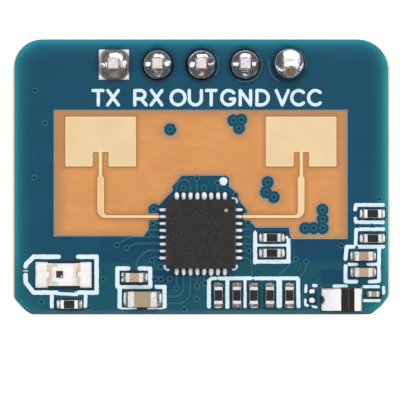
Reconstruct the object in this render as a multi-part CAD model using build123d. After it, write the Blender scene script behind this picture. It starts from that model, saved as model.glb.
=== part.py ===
from build123d import *
import math
import os

os.makedirs("parts", exist_ok=True)

# Presence-radar module: a small circuit board with two patch antennas, a radar chip and a
# five-pin header soldered in from the back. Millimetres.
# Frame: origin on the middle pin's axis, in the plane of the header housing's underside.
# +Z out of the antenna face, +X along the header row, +Y towards the header's edge of the board.

# ---- driving dimensions ----
board_half_x = 11.00        # laminate half width
mask_half_x = 10.87         # solder mask half width: a bare rim of laminate shows beside it
board_y0, board_y1 = -14.53, 1.47
corner_tl, corner_tr = 1.63, 1.80        # radii of the mask's upper corners
# cuts across its lower corners: legs along X and Y, and where each cut bends, in from the side and up from the bottom
cut_bl, cut_br = (1.01, 0.93, 0.62, 0.27), (1.05, 1.06, 0.45, 0.48)
rim = board_half_x - mask_half_x

housing_h = 2.54
pitch = 2.54
pins = 5
pin_side = 0.64
pin_low = -6.0              # free end of the pins, below the housing
pin_tip = 1.28              # how far the pins stand out of the antenna face
tip_taper, tip_inset = 0.30, 0.05       # the pins' sides lean in over this height, by this much

mask_t = 0.04
copper_t = 0.04
z_back = housing_h                      # outside of the back mask
z_lam0 = z_back + mask_t                # laminate, back
z_lam1 = z_lam0 + 1.12                  # laminate, front
z_front = z_lam1 + mask_t               # outside of the front mask and top of the lands

header_hole_r = 0.50
land_r = 0.92
land_square = 1.79
via_r = 0.10
mask_gap = 0.05             # mask opening beyond a land, each side

patch_x0, patch_x1 = -2.045, 2.045      # about each feed
patch_y0, patch_y1 = -5.92, -3.04
slot_top = -5.08
feed_w, wide_w, line_w = 0.17, 0.37, 0.155
slot_w = 0.38
taper_y0, taper_y1 = -6.48, -6.59
line_y = -8.84
bend_in, bend_out = 0.20, 0.50
left_feed_x, right_feed_x = -5.86, 5.81

chip_x, chip_y = -0.03, -9.84
chip_side, chip_h, chip_gap = 4.0, 0.80, 0.02
lead_pitch, lead_w, lead_in = 0.40, 0.22, 0.40
land_out = 0.42             # chip lands reach this far past the body

open_x0, open_x1, open_y1 = -8.59, 8.50, -2.62
open_y_left, open_y_right = -9.98, -10.13

# places of the two-ended chips on the front: name, centre, along x or y,
# body length, width, height, end metal, overall length of the lands, land width
resistor = (1.00, 0.50, 0.35, 0.20, 1.50, 0.60)
front_chips = [
    ("resistor_1", -7.67, -13.93, "x", resistor),
    ("resistor_2", 0.99, -13.41, "y", resistor),
    ("resistor_3", 2.06, -13.41, "y", resistor),
    ("resistor_4", 3.04, -13.41, "y", resistor),
    ("resistor_5", 3.98, -13.41, "y", resistor),
    ("resistor_6", 5.12, -13.41, "y", resistor),
    ("resistor_7", 4.10, -10.06, "x", resistor),
    ("resistor_8", 4.10, -10.95, "x", resistor),
    ("resistor_9", 9.94, -8.67, "x", resistor),
    ("resistor_10", 9.95, -10.10, "x", resistor),
    ("capacitor_1", -3.88, -12.37, "x", (1.06, 0.55, 0.52, 0.30, 1.54, 0.60)),
    ("capacitor_2", 9.41, -11.13, "x", (1.06, 0.55, 0.52, 0.30, 1.50, 0.60)),
    ("capacitor_3", 9.41, -12.07, "x", (1.06, 0.55, 0.52, 0.30, 1.50, 0.60)),
    ("capacitor_4", -3.41, -13.63, "x", (1.70, 0.92, 0.80, 0.42, 2.20, 0.96)),
    ("capacitor_small", 10.01, -13.33, "x", (0.62, 0.33, 0.30, 0.19, 0.80, 0.38)),
]

# an empty footprint: two tinned lands with no chip on them
bare_lands = [(6.26, 6.60, -13.31, -13.05), (6.26, 6.60, -13.85, -13.56)]

led_x, led_y = -8.00, -12.20
led_l, led_w, led_base_h, led_lens_h = 2.00, 1.30, 0.25, 0.45
led_lens_l, led_notch_r, led_metal_t = 1.36, 0.27, 0.03
led_land_x0, led_land_x1, led_land_w = -9.66, -6.37, 1.50
led_die = 0.34

prot_x, prot_y, prot_l, prot_w, prot_h, prot_end = 8.475, -13.65, 1.57, 1.31, 0.60, 0.42
prot_land_x0, prot_land_x1 = 6.96, 9.30

vias = [
    (-9.69, -1.51), (-9.10, -3.40), (-9.70, -6.58), (-4.90, -10.50), (-4.35, -10.66),
    (-5.69, -12.47), (-9.29, -13.79), (-6.49, -14.12), (10.35, -7.81), (9.07, -9.38),
    (9.92, -9.40), (5.49, -11.32), (6.10, -11.46), (8.14, -10.53), (8.93, -10.62),
    (10.49, -11.80), (6.32, -14.14), (-1.03, -7.19), (-0.26, -6.62), (0.14, -7.17),
    (0.94, -6.88), (1.97, -7.60), (-2.78, -8.40), (-2.84, -9.23), (-2.90, -9.74),
    (2.72, -9.23), (2.77, -10.84), (-2.87, -11.38), (-2.38, -11.77), (-2.70, -12.47),
    (-2.35, -12.47), (-1.83, -12.47), (-1.46, -13.01), (-0.26, -12.88), (0.20, -12.72),
    (-0.25, -13.66), (-1.00, -14.23),
]
# vias that stand in the mask opening, each under its own round mask island
island_vias = [
    (-1.81, -3.77), (1.86, -3.24), (2.32, -3.20), (2.19, -3.70), (3.86, -6.84),
    (3.76, -7.42), (4.21, -7.70), (7.04, -8.45), (7.05, -8.98), (7.05, -9.51),
    (6.54, -9.51), (6.04, -9.51),
]
island_r = 0.36


# ---- helpers ----
def box(x0, x1, y0, y1, z0, z1):
    return Pos((x0 + x1) / 2, (y0 + y1) / 2, (z0 + z1) / 2) * Box(
        abs(x1 - x0), abs(y1 - y0), abs(z1 - z0)
    )


def cyl(x, y, r, z0, z1):
    return Pos(x, y, (z0 + z1) / 2) * Cylinder(r, z1 - z0)


def prism(face, z0, z1):
    return extrude(Pos(0, 0, z0) * face, amount=z1 - z0, dir=(0, 0, 1))


def polygon(points):
    return make_face(Polyline(*points, close=True).edges())


def outline(hx, y0, y1, tl, tr, bl, br):
    """Board outline: round upper corners, lower corners cut across in two eased steps (bl, br)."""
    s, ease = math.sqrt(0.5), 0.45

    def eased(a, b, c):
        """Points of the arc that eases the corner b between a and c."""
        u, v = Vector(*a) - Vector(*b), Vector(*c) - Vector(*b)
        u, v, b = u.normalized(), v.normalized(), Vector(*b)
        half = math.radians(u.get_angle(v)) / 2
        m = (u + v).normalized()
        return [b + u * (ease / math.tan(half)), b + m * (ease / math.sin(half) - ease), b + v * (ease / math.tan(half))]

    r0, rm, r1 = (hx, y0 + br[1]), (hx - br[2], y0 + br[3]), (hx - br[0], y0)
    l1, lm, l0 = (-hx + bl[0], y0), (-hx + bl[2], y0 + bl[3]), (-hx, y0 + bl[1])
    arcs = [
        eased((hx, 0), r0, rm), eased(r0, rm, r1), eased(rm, r1, (0, y0)),
        eased((0, y0), l1, lm), eased(l1, lm, l0), eased(lm, l0, (-hx, 0)),
    ]
    e = [
        Line((-hx + tl, y1), (hx - tr, y1)),
        ThreePointArc((hx - tr, y1), (hx - tr + tr * s, y1 - tr + tr * s), (hx, y1 - tr)),
    ]
    at = Vector(hx, y1 - tr)
    for a in arcs:
        e += [Line(at, a[0]), ThreePointArc(*a)]
        at = a[2]
    e += [
        Line(at, (-hx, y1 - tl)),
        ThreePointArc((-hx, y1 - tl), (-hx + tl - tl * s, y1 - tl + tl * s), (-hx + tl, y1)),
    ]
    return make_face(e)


def solids(shapes):
    """A node of separate solids."""
    out = []
    for s in shapes:
        out += list(s.solids())
    return Compound(children=out) if len(out) > 1 else out[0]


def write(name, shape):
    export_step(shape, f"parts/{name}.step")


def wedge(x, y, axis, side, length, width, height, z, up=1):
    """Solder fillet: concave wedge from a chip's end face, at x, y, out along side of axis."""
    pts = [
        (0, 0), (length, 0), (length, 0.06 * height), (0.55 * length, 0.24 * height),
        (0.22 * length, 0.58 * height), (0.05 * length, height), (0, height),
    ]
    face = make_face(Polyline(*[(a * side, 0, b * up) for a, b in pts], close=True).edges())
    w = extrude(face, amount=width / 2, dir=(0, 1, 0), both=True)
    if axis == "y":
        w = Rot(0, 0, 90) * w
    return Pos(x, y, z) * w


def chip_body(cx, cy, axis, l, w, h, end, z, up=1):
    """A two-ended chip: ceramic bar with slightly proud metal ends, one piece."""
    step = 0.012
    zz = z + up * h / 2
    bar = Pos(0, 0, 0) * Box(l - 2 * end + 0.02, w - 2 * step, h - 2 * step)
    ends = []
    for s in (-1, 1):
        e = Pos(s * (l - end) / 2, 0, 0) * Box(end, w, h)
        outer = e.edges().filter_by(Axis.X).edges()
        e = fillet(outer, min(0.05, 0.12 * h))
        ends.append(e)
    b = bar + ends
    if axis == "y":
        b = Rot(0, 0, 90) * b
    return Pos(cx, cy, zz) * b


def lands_of(cx, cy, axis, l, w, h, end, land_l, land_w):
    """The two lands under a two-ended chip, as x0, x1, y0, y1."""
    inner = l / 2 - end - 0.03
    out = []
    for s in (-1, 1):
        a, b = sorted((s * inner, s * land_l / 2))
        if axis == "x":
            out.append((cx + a, cx + b, cy - land_w / 2, cy + land_w / 2))
        else:
            out.append((cx - land_w / 2, cx + land_w / 2, cy + a, cy + b))
    return out


def grow(r, g):
    return (r[0] - g, r[1] + g, r[2] - g, r[3] + g)


pin_x = [(i - (pins - 1) / 2) * pitch for i in range(pins)]

# ---- front lands ----
front_lands = []
for name, cx, cy, axis, dims in front_chips:
    front_lands += lands_of(cx, cy, axis, *dims)
front_lands += bare_lands
front_lands += [
    (led_land_x0, led_x - 0.62, led_y - led_land_w / 2, led_y + led_land_w / 2),
    (led_x + 0.62, led_land_x1, led_y - led_land_w / 2, led_y + led_land_w / 2),
    (prot_land_x0, prot_x - 0.38, prot_y - prot_w / 2, prot_y + prot_w / 2),
    (prot_x + 0.38, prot_land_x1, prot_y - prot_w / 2, prot_y + prot_w / 2),
]


def chip_lands(cx, cy, side, n, pitch_, w, inside, outside):
    """Lands round a square leadless chip: list of (rect, outward direction)."""
    out = []
    half = side / 2
    for i in range(n):
        t = (i - (n - 1) / 2) * pitch_
        out.append(((cx + t - w / 2, cx + t + w / 2, cy + half - inside, cy + half + outside), (0, 1)))
        out.append(((cx + t - w / 2, cx + t + w / 2, cy - half - outside, cy - half + inside), (0, -1)))
        out.append(((cx - half - outside, cx - half + inside, cy + t - w / 2, cy + t + w / 2), (-1, 0)))
        out.append(((cx + half - inside, cx + half + outside, cy + t - w / 2, cy + t + w / 2), (1, 0)))
    return out


radar_lands = chip_lands(chip_x, chip_y, chip_side, 8, lead_pitch, lead_w, lead_in, land_out)
heat = 2.7
heat_rect = (chip_x - heat / 2, chip_x + heat / 2, chip_y - heat / 2, chip_y + heat / 2)

# ---- laminate ----
holes = [cyl(x, 0, header_hole_r, z_lam0 - 1, z_lam1 + 1) for x in pin_x]
drill = [cyl(x, y, via_r, z_lam0 - 1, z_lam1 + 1) for x, y in vias + island_vias]
lam_cut_bl, lam_cut_br = (1.10, 1.01, 0.72, 0.23), (1.14, 1.15, 0.53, 0.45)
lam_face = outline(board_half_x, board_y0, board_y1, corner_tl + rim, corner_tr + rim, lam_cut_bl, lam_cut_br)
circuit_board = prism(lam_face, z_lam0, z_lam1) - (holes + drill)
write("circuit_board", circuit_board)

# ---- antennas: patch, two slots beside the feed, feed line bent towards the chip ----
def antenna(fx, s, end_x):
    """s is +1 where the line turns towards +X, -1 towards -X."""
    f, wd, hl = feed_w / 2, wide_w / 2, line_w / 2
    q = math.sqrt(0.5)

    def p(x, y):
        return (fx + s * x, y)

    top, bot = line_y + hl, line_y - hl
    ci = (wd + bend_in, top + bend_in)          # centre of the inner bend
    co = (-wd + bend_out, bot + bend_out)       # centre of the outer bend
    a = [
        p(wd, taper_y1), p(f, taper_y0), p(f, slot_top), p(f + slot_w, slot_top),
        p(f + slot_w, patch_y0), p(patch_x1, patch_y0), p(patch_x1, patch_y1),
        p(patch_x0, patch_y1), p(patch_x0, patch_y0), p(-f - slot_w, patch_y0),
        p(-f - slot_w, slot_top), p(-f, slot_top), p(-f, taper_y0), p(-wd, taper_y1),
        p(-wd, co[1]),
    ]
    e = [Line(a[i], a[i + 1]) for i in range(len(a) - 1)]
    e.append(ThreePointArc(p(-wd, co[1]), p(co[0] - bend_out * q, co[1] - bend_out * q), p(co[0], bot)))
    e.append(Line(p(co[0], bot), (end_x, bot)))
    e.append(Line((end_x, bot), (end_x, top)))
    e.append(Line((end_x, top), p(ci[0], top)))
    e.append(ThreePointArc(p(ci[0], top), p(ci[0] - bend_in * q, ci[1] - bend_in * q), p(wd, ci[1])))
    e.append(Line(p(wd, ci[1]), p(wd, taper_y1)))
    return prism(make_face(e), z_lam1, z_lam1 + copper_t)


chip_land_left = chip_x - chip_side / 2 - land_out
chip_land_right = chip_x + chip_side / 2 + land_out
write("antenna_left", antenna(left_feed_x, 1, chip_land_left))
write("antenna_right", antenna(right_feed_x, -1, chip_land_right))

# ---- front solder mask: one sheet with the antenna opening, and round islands in it ----
slot_half = 0.19
opening = polygon([
    (open_x0, open_y1), (open_x1, open_y1), (open_x1, open_y_right), (5.21, open_y_right),
    (5.08, -9.47), (3.17, -9.47), (2.98, -9.26), (2.79, line_y - slot_half),
    (chip_land_right - 0.02, line_y - slot_half), (chip_land_right - 0.02, line_y + slot_half),
    (2.66, line_y + slot_half), (2.66, -8.49), (2.22, -7.93), (2.10, -7.49), (1.62, -7.11),
    (1.62, -6.60), (1.40, -6.45), (-1.12, -6.45), (-1.66, -7.05), (-1.66, -7.33),
    (-2.48, -8.18), (-2.70, -8.08), (-2.90, -8.11), (-3.05, -8.25), (-3.10, -8.45),
    (-3.04, line_y + slot_half), (chip_land_left + 0.02, line_y + slot_half),
    (chip_land_left + 0.02, line_y - slot_half), (-3.03, line_y - slot_half),
    (-3.08, -9.63), (-3.39, open_y_left), (open_x0, open_y_left),
])
mask_face = outline(mask_half_x, board_y0, board_y1, corner_tl, corner_tr, cut_bl, cut_br)
z_m0, z_m1 = z_lam1, z_lam1 + mask_t
cuts = [prism(opening, z_m0 - 0.1, z_m1 + 0.1)]
cuts += [box(*grow(r, mask_gap), z_m0 - 0.1, z_m1 + 0.1) for r in front_lands]
cuts += [box(*grow(r, 0.03), z_m0 - 0.1, z_m1 + 0.1) for r, d in radar_lands]
cuts += [box(*grow(heat_rect, 0.03), z_m0 - 0.1, z_m1 + 0.1)]
cuts += [cyl(x, 0, land_r + mask_gap, z_m0 - 0.1, z_m1 + 0.1) for x in pin_x[1:]]
sq = land_square / 2 + mask_gap
cuts += [box(pin_x[0] - sq, pin_x[0] + sq, -sq, sq, z_m0 - 0.1, z_m1 + 0.1)]
cuts += [cyl(x, y, via_r, z_m0 - 0.1, z_m1 + 0.1) for x, y in vias]
mask_front = prism(mask_face, z_m0, z_m1) - cuts
discs = [cyl(x, y, island_r, z_m0, z_m1) for x, y in island_vias]
isl = discs[0]
for d in discs[1:]:
    isl = isl + d
isl = isl - [cyl(x, y, via_r, z_m0 - 0.1, z_m1 + 0.1) for x, y in island_vias]
write("solder_mask_front", solids([mask_front, isl]))

# ---- lands ----
z_c0, z_c1 = z_lam1, z_lam1 + copper_t
header_lands = []
for i, x in enumerate(pin_x):
    if i == 0:
        h = land_square / 2
        b = box(x - h, x + h, -h, h, z_c0, z_c1)
    else:
        b = cyl(x, 0, land_r, z_c0, z_c1)
    header_lands.append(b - cyl(x, 0, header_hole_r, z_c0 - 1, z_c1 + 1))
    back = cyl(x, 0, 0.85, z_lam0 - copper_t, z_lam0)
    header_lands.append(back - cyl(x, 0, header_hole_r, z_lam0 - 1, z_lam0 + 1))
write("header_lands", solids(header_lands))
lands = [box(*r, z_c0, z_c1) for r in front_lands]
lands += [box(*r, z_c0, z_c1) for r, d in radar_lands]
lands.append(box(*heat_rect, z_c0, z_c1))
write("front_lands", solids(lands))

# ---- header ----
cells = []
half_w, cut = 1.25, 0.45
top_pts, bot_pts = [], []
for x in pin_x:
    top_pts += [(x - pitch / 2, half_w - cut), (x - pitch / 2 + cut, half_w), (x + pitch / 2 - cut, half_w)]
top_pts.append((pin_x[-1] + pitch / 2, half_w - cut))
bot_pts = [(x, -y) for x, y in reversed(top_pts)]
housing = prism(polygon(top_pts + bot_pts), 0, housing_h)
pin_holes = [box(x - pin_side / 2, x + pin_side / 2, -pin_side / 2, pin_side / 2, -1, housing_h + 1) for x in pin_x]
write("header_housing", housing - pin_holes)

pin_top = z_front + pin_tip
hs = pin_side / 2


def pin_solid(x):
    """Square pin: blunt tapered tip at the top, longer point at the free end."""
    def sq(h, z):
        return Pos(x, 0, z) * Rectangle(2 * h, 2 * h)

    shaft = box(x - hs, x + hs, -hs, hs, pin_low + 0.30, pin_top - tip_taper)
    tip = loft([sq(hs, pin_top - tip_taper), sq(hs - tip_inset, pin_top)], ruled=True)
    point = loft([sq(hs - 0.16, pin_low), sq(hs, pin_low + 0.30)], ruled=True)
    return shaft + tip + point


for i, x in enumerate(pin_x):
    write(f"header_pin_{i + 1}", pin_solid(x))

# solder joints: they fill the hole, bulge over the land and climb the pin.
# radius on the land, height of the bulge, height where the solder meets the pin
joint = [(0.80, 0.36, 0.94), (0.91, 0.46, 0.95), (0.91, 0.48, 0.96), (0.91, 0.47, 0.95), (0.91, 1.36, 1.36)]
for i, x in enumerate(pin_x):
    r, b, h = joint[i]
    if i < 4:
        # a low dome up to a collar, then straight up the pin, never inside its corners
        pts = [(r, 0), (0.955 * r, 0.34 * b), (0.86 * r, 0.62 * b), (0.72 * r, 0.83 * b), (0.50, 0.96 * b)]
        side = Spline(*[(a, z_front + c) for a, c in pts])
        rest = Polyline((0.50, z_front + 0.96 * b), (0.46, z_front + h), (0, z_front + h), (0, z_back), (header_hole_r, z_back), (header_hole_r, z_front), (r, z_front))
    else:
        side = Spline((r, z_front), (0.93 * r, z_front + 0.30), (0.68, z_front + 0.85), (0.30, z_front + h - 0.06), (0, z_front + h), tangents=((0.1, 1), (-1, 0)))
        rest = Polyline((0, z_front + h), (0, z_back), (header_hole_r, z_back), (header_hole_r, z_front), (r, z_front))
    prof = make_face(side.edges() + rest.edges())
    prof = Plane.XZ * prof
    j = revolve(prof, axis=Axis.Z)
    j = Pos(x, 0, 0) * j
    if i == 0:      # the first land is square, and tinned out to its corners
        h = land_square / 2 - 0.005
        j = j + box(x - h, x + h, -h, h, z_front, z_front + 0.06)
    write(f"solder_joint_{i + 1}", j - pin_solid(x))


# ---- leadless chips ----
def qfn(cx, cy, side, h, gap, n, pitch_, w, inside, heat_, z, up, dot):
    """Moulded body and its lead frame. up is +1 on the front face, -1 on the back."""
    z0, z1 = z + up * gap, z + up * (gap + h)
    lo, hi = min(z0, z1), max(z0, z1)
    b = box(cx - side / 2, cx + side / 2, cy - side / 2, cy + side / 2, lo, hi)
    b = chamfer(b.edges().filter_by(Axis.Z), 0.05)
    frame = []
    for r, d in chip_lands(cx, cy, side, n, pitch_, w, inside, 0):
        zz = sorted((z0, z0 + up * 0.20))
        frame.append(box(*r, zz[0], zz[1]))
    hz = sorted((z0, z0 + up * 0.20))
    frame.append(box(cx - heat_ / 2, cx + heat_ / 2, cy - heat_ / 2, cy + heat_ / 2, hz[0], hz[1]))
    b = b - frame
    dz = sorted((z1, z1 - up * 0.04))
    b = b - cyl(cx + dot[0], cy + dot[1], 0.13, dz[0], dz[1])
    return b, frame


def qfn_solder(cx, cy, side, gap, n, pitch_, w, inside, outside, z, up):
    out = []
    for r, d in chip_lands(cx, cy, side, n, pitch_, w, inside, outside):
        zz = sorted((z, z + up * gap))
        if d[0]:
            x_face = cx + d[0] * side / 2
            y_mid = (r[2] + r[3]) / 2
            inner = (min(x_face, x_face - d[0] * inside), max(x_face, x_face - d[0] * inside), r[2], r[3])
            s = box(*inner, zz[0], zz[1]) + wedge(x_face, y_mid, "x", d[0], outside, w, 0.20, z, up)
        else:
            y_face = cy + d[1] * side / 2
            x_mid = (r[0] + r[1]) / 2
            inner = (r[0], r[1], min(y_face, y_face - d[1] * inside), max(y_face, y_face - d[1] * inside))
            s = box(*inner, zz[0], zz[1]) + wedge(x_mid, y_face, "y", d[1], outside, w, 0.20, z, up)
        out.append(s)
    return out


body, frame = qfn(chip_x, chip_y, chip_side, chip_h, chip_gap, 8, lead_pitch, lead_w, lead_in, heat, z_front, 1, (1.46, 1.37))
write("radar_chip", body)
write("radar_chip_leadframe", solids(frame))
solder = qfn_solder(chip_x, chip_y, chip_side, chip_gap, 8, lead_pitch, lead_w, lead_in, land_out, z_front, 1)
solder.append(box(*heat_rect, z_front, z_front + chip_gap))
write("radar_chip_solder", solids(solder))

# ---- two-ended chips on the front ----
front_solder = []


def end_solder(cx, cy, axis, l, w, h, end, land_l, land_w, z, up=1):
    out = []
    reach = (land_l - l) / 2
    for s in (-1, 1):
        if axis == "x":
            out.append(wedge(cx + s * l / 2, cy, "x", s, reach, w, 0.6 * h, z, up))
        else:
            out.append(wedge(cx, cy + s * l / 2, "y", s, reach, w, 0.6 * h, z, up))
    return out


for name, cx, cy, axis, d in front_chips:
    l, w, h, end, land_l, land_w = d
    write(name, chip_body(cx, cy, axis, l, w, h, end, z_front))
    front_solder += end_solder(cx, cy, axis, l, w, h, end, land_l, land_w, z_front)

for r in bare_lands:
    pad = box(*grow(r, -0.01), z_front, z_front + 0.06)
    front_solder.append(chamfer(pad.faces().sort_by(Axis.Z)[-1].edges(), 0.03))

# ---- light-emitting chip ----
zb = z_front + led_base_h
base = box(led_x - led_l / 2, led_x + led_l / 2, led_y - led_w / 2, led_y + led_w / 2, z_front, zb)
notch = [cyl(led_x + s * led_l / 2, led_y, led_notch_r, z_front - 1, zb + 1) for s in (-1, 1)]
write("led_base", base - notch)
metal = []
for s in (-1, 1):
    a, b = sorted((led_x + s * led_l / 2, led_x + s * led_lens_l / 2))
    metal.append(box(a, b, led_y - led_w / 2, led_y + led_w / 2, zb, zb + led_metal_t) - notch)
write("led_metal", solids(metal))
die = box(led_x - 0.22 - led_die / 2, led_x - 0.22 + led_die / 2, led_y + 0.02 - led_die / 2, led_y + 0.02 + led_die / 2, zb, zb + 0.12)
write("led_die", die)
lens = box(led_x - led_lens_l / 2, led_x + led_lens_l / 2, led_y - led_w / 2, led_y + led_w / 2, zb, zb + led_lens_h)
lens = chamfer(lens.faces().sort_by(Axis.Z)[-1].edges().filter_by(Axis.Y), 0.12)
write("led_lens", lens - die)
for s in (-1, 1):
    reach = abs((led_land_x0 if s < 0 else led_land_x1) - (led_x + s * led_l / 2))
    w = wedge(led_x + s * led_l / 2, led_y, "x", s, reach, led_w, 0.22, z_front)
    fill = cyl(led_x + s * led_l / 2, led_y, led_notch_r, z_front, z_front + 0.16)
    half = box(led_x + s * (led_l / 2 - led_notch_r), led_x + s * led_l / 2, led_y - led_notch_r, led_y + led_notch_r, z_front, z_front + 0.16)
    front_solder.append(w + (fill & half))

# ---- input protection chip: black middle, silver ends, on a long left land ----
write("protection_chip", chip_body(prot_x, prot_y, "x", prot_l, prot_w, prot_h, prot_end, z_front))
for s, reach in ((-1, prot_x - prot_l / 2 - prot_land_x0), (1, prot_land_x1 - prot_x - prot_l / 2)):
    front_solder.append(wedge(prot_x + s * prot_l / 2, prot_y, "x", s, reach, prot_w - 0.04, 0.16 if s < 0 else 0.05, z_front))
write("front_solder", solids(front_solder))

# ---- back of the board: microcontroller, crystal, regulator and capacitors ----
mcu_x, mcu_y, mcu_side = 0.00, -9.80, 3.0
cry_x, cry_y, cry_l, cry_w, cry_h = 5.20, -5.20, 2.5, 2.0, 0.60
reg_x, reg_y, reg_l, reg_w, reg_h = -6.80, -6.20, 1.60, 2.90, 1.10
cap_small = (1.00, 0.50, 0.50, 0.25, 1.50, 0.60)
cap_large = (1.60, 0.80, 0.80, 0.35, 2.30, 0.90)
back_chips = [
    ("back_capacitor_1", -6.80, -3.40, "x", cap_large),
    ("back_capacitor_2", -6.80, -9.20, "x", cap_large),
    ("back_capacitor_3", 5.20, -8.60, "y", cap_small),
    ("back_capacitor_4", 2.60, -5.60, "x", cap_small),
]
back_lands, back_solder = [], []
for name, cx, cy, axis, d in back_chips:
    l, w, h, end, land_l, land_w = d
    write(name, chip_body(cx, cy, axis, l, w, h, end, z_back, -1))
    back_lands += lands_of(cx, cy, axis, *d)
    back_solder += end_solder(cx, cy, axis, l, w, h, end, land_l, land_w, z_back, -1)

body, frame = qfn(mcu_x, mcu_y, mcu_side, 0.75, 0.02, 5, 0.50, 0.25, 0.35, 1.7, z_back, -1, (-1.1, 1.1))
write("microcontroller", body)
write("microcontroller_leadframe", solids(frame))
mcu_lands = chip_lands(mcu_x, mcu_y, mcu_side, 5, 0.50, 0.25, 0.35, 0.35)
back_lands += [r for r, d in mcu_lands]
mcu_heat = (mcu_x - 0.85, mcu_x + 0.85, mcu_y - 0.85, mcu_y + 0.85)
back_lands.append(mcu_heat)
back_solder += qfn_solder(mcu_x, mcu_y, mcu_side, 0.02, 5, 0.50, 0.25, 0.35, 0.35, z_back, -1)
back_solder.append(box(*mcu_heat, z_back - 0.02, z_back))

cb = box(cry_x - cry_l / 2, cry_x + cry_l / 2, cry_y - cry_w / 2, cry_y + cry_w / 2, z_back - 0.40, z_back)
cb = chamfer(cb.edges().filter_by(Axis.Z), 0.15)
write("crystal_base", cb)
cl = box(cry_x - cry_l / 2 + 0.15, cry_x + cry_l / 2 - 0.15, cry_y - cry_w / 2 + 0.15, cry_y + cry_w / 2 - 0.15, z_back - cry_h, z_back - 0.40)
cl = fillet(cl.edges().filter_by(Axis.Z), 0.20)
write("crystal_lid", cl)
for sx in (-1, 1):
    for sy in (-1, 1):
        xa, xb = sorted((cry_x + sx * 0.45, cry_x + sx * (cry_l / 2 + 0.15)))
        ya, yb = sorted((cry_y + sy * 0.30, cry_y + sy * (cry_w / 2 + 0.15)))
        back_lands.append((xa, xb, ya, yb))

# regulator: moulded body with five bent leads, three on one side and two on the other
rb = box(reg_x - reg_l / 2, reg_x + reg_l / 2, reg_y - reg_w / 2, reg_y + reg_w / 2, z_back - reg_h, z_back - 0.08)
rb = chamfer(rb.faces().sort_by(Axis.Z)[0].edges(), 0.10)
leads = []
for s, ys in ((-1, (-0.95, 0.0, 0.95)), (1, (-0.95, 0.95))):
    for y in ys:
        pts = [
            (reg_l / 2 - 0.15, 0.50), (reg_l / 2 + 0.22, 0.50), (reg_l / 2 + 0.30, 0.14), (reg_l / 2 + 0.62, 0.14),
            (reg_l / 2 + 0.62, 0.0), (reg_l / 2 + 0.17, 0.0), (reg_l / 2 + 0.09, 0.36), (reg_l / 2 - 0.15, 0.36),
        ]
        face = make_face(Polyline(*[(s * a, 0, -b) for a, b in pts], close=True).edges())
        ld = Pos(reg_x, reg_y + y, z_back) * extrude(face, amount=0.20, dir=(0, 1, 0), both=True)
        leads.append(ld)
        xa, xb = sorted((reg_x + s * (reg_l / 2 + 0.10), reg_x + s * (reg_l / 2 + 0.85)))
        back_lands.append((xa, xb, reg_y + y - 0.28, reg_y + y + 0.28))
write("regulator", rb - leads)
write("regulator_leads", solids(leads))
for s, ys in ((-1, (-0.95, 0.0, 0.95)), (1, (-0.95, 0.95))):
    for y in ys:
        back_solder.append(wedge(reg_x + s * (reg_l / 2 + 0.62), reg_y + y, "x", s, 0.20, 0.40, 0.12, z_back, -1))
write("back_solder", solids(back_solder))
write("back_lands", solids([box(*r, z_lam0 - copper_t, z_lam0) for r in back_lands]))

# ---- back solder mask ----
za, zb2 = z_back - 0.1, z_lam0 + 0.1
cuts = [box(*grow(r, mask_gap), za, zb2) for r in back_lands]
cuts += [cyl(x, 0, 0.85 + mask_gap, za, zb2) for x in pin_x]
cuts += [cyl(x, y, via_r, za, zb2) for x, y in vias + island_vias]
back_face = outline(mask_half_x, board_y0, board_y1, corner_tl, corner_tr, cut_bl, cut_br)
write("solder_mask_back", solids([prism(back_face, z_back, z_lam0) - cuts]))

print("board", 2 * board_half_x, "x", board_y1 - board_y0, "front face z", z_front, "pin tops", pin_top)
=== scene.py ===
import bpy
import math
import numpy as np
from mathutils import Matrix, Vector


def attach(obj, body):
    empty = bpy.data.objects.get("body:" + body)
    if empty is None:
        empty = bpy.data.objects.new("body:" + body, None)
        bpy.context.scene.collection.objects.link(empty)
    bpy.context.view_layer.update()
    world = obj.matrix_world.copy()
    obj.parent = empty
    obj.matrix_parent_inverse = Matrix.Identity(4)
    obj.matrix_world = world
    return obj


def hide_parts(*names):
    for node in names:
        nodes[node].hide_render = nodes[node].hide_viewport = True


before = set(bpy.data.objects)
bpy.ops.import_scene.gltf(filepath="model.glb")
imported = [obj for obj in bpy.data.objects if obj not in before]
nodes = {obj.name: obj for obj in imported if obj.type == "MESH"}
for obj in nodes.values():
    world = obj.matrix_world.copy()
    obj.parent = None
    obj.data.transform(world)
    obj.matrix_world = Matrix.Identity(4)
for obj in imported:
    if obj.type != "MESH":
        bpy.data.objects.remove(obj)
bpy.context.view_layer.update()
MM = 0.001

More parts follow.
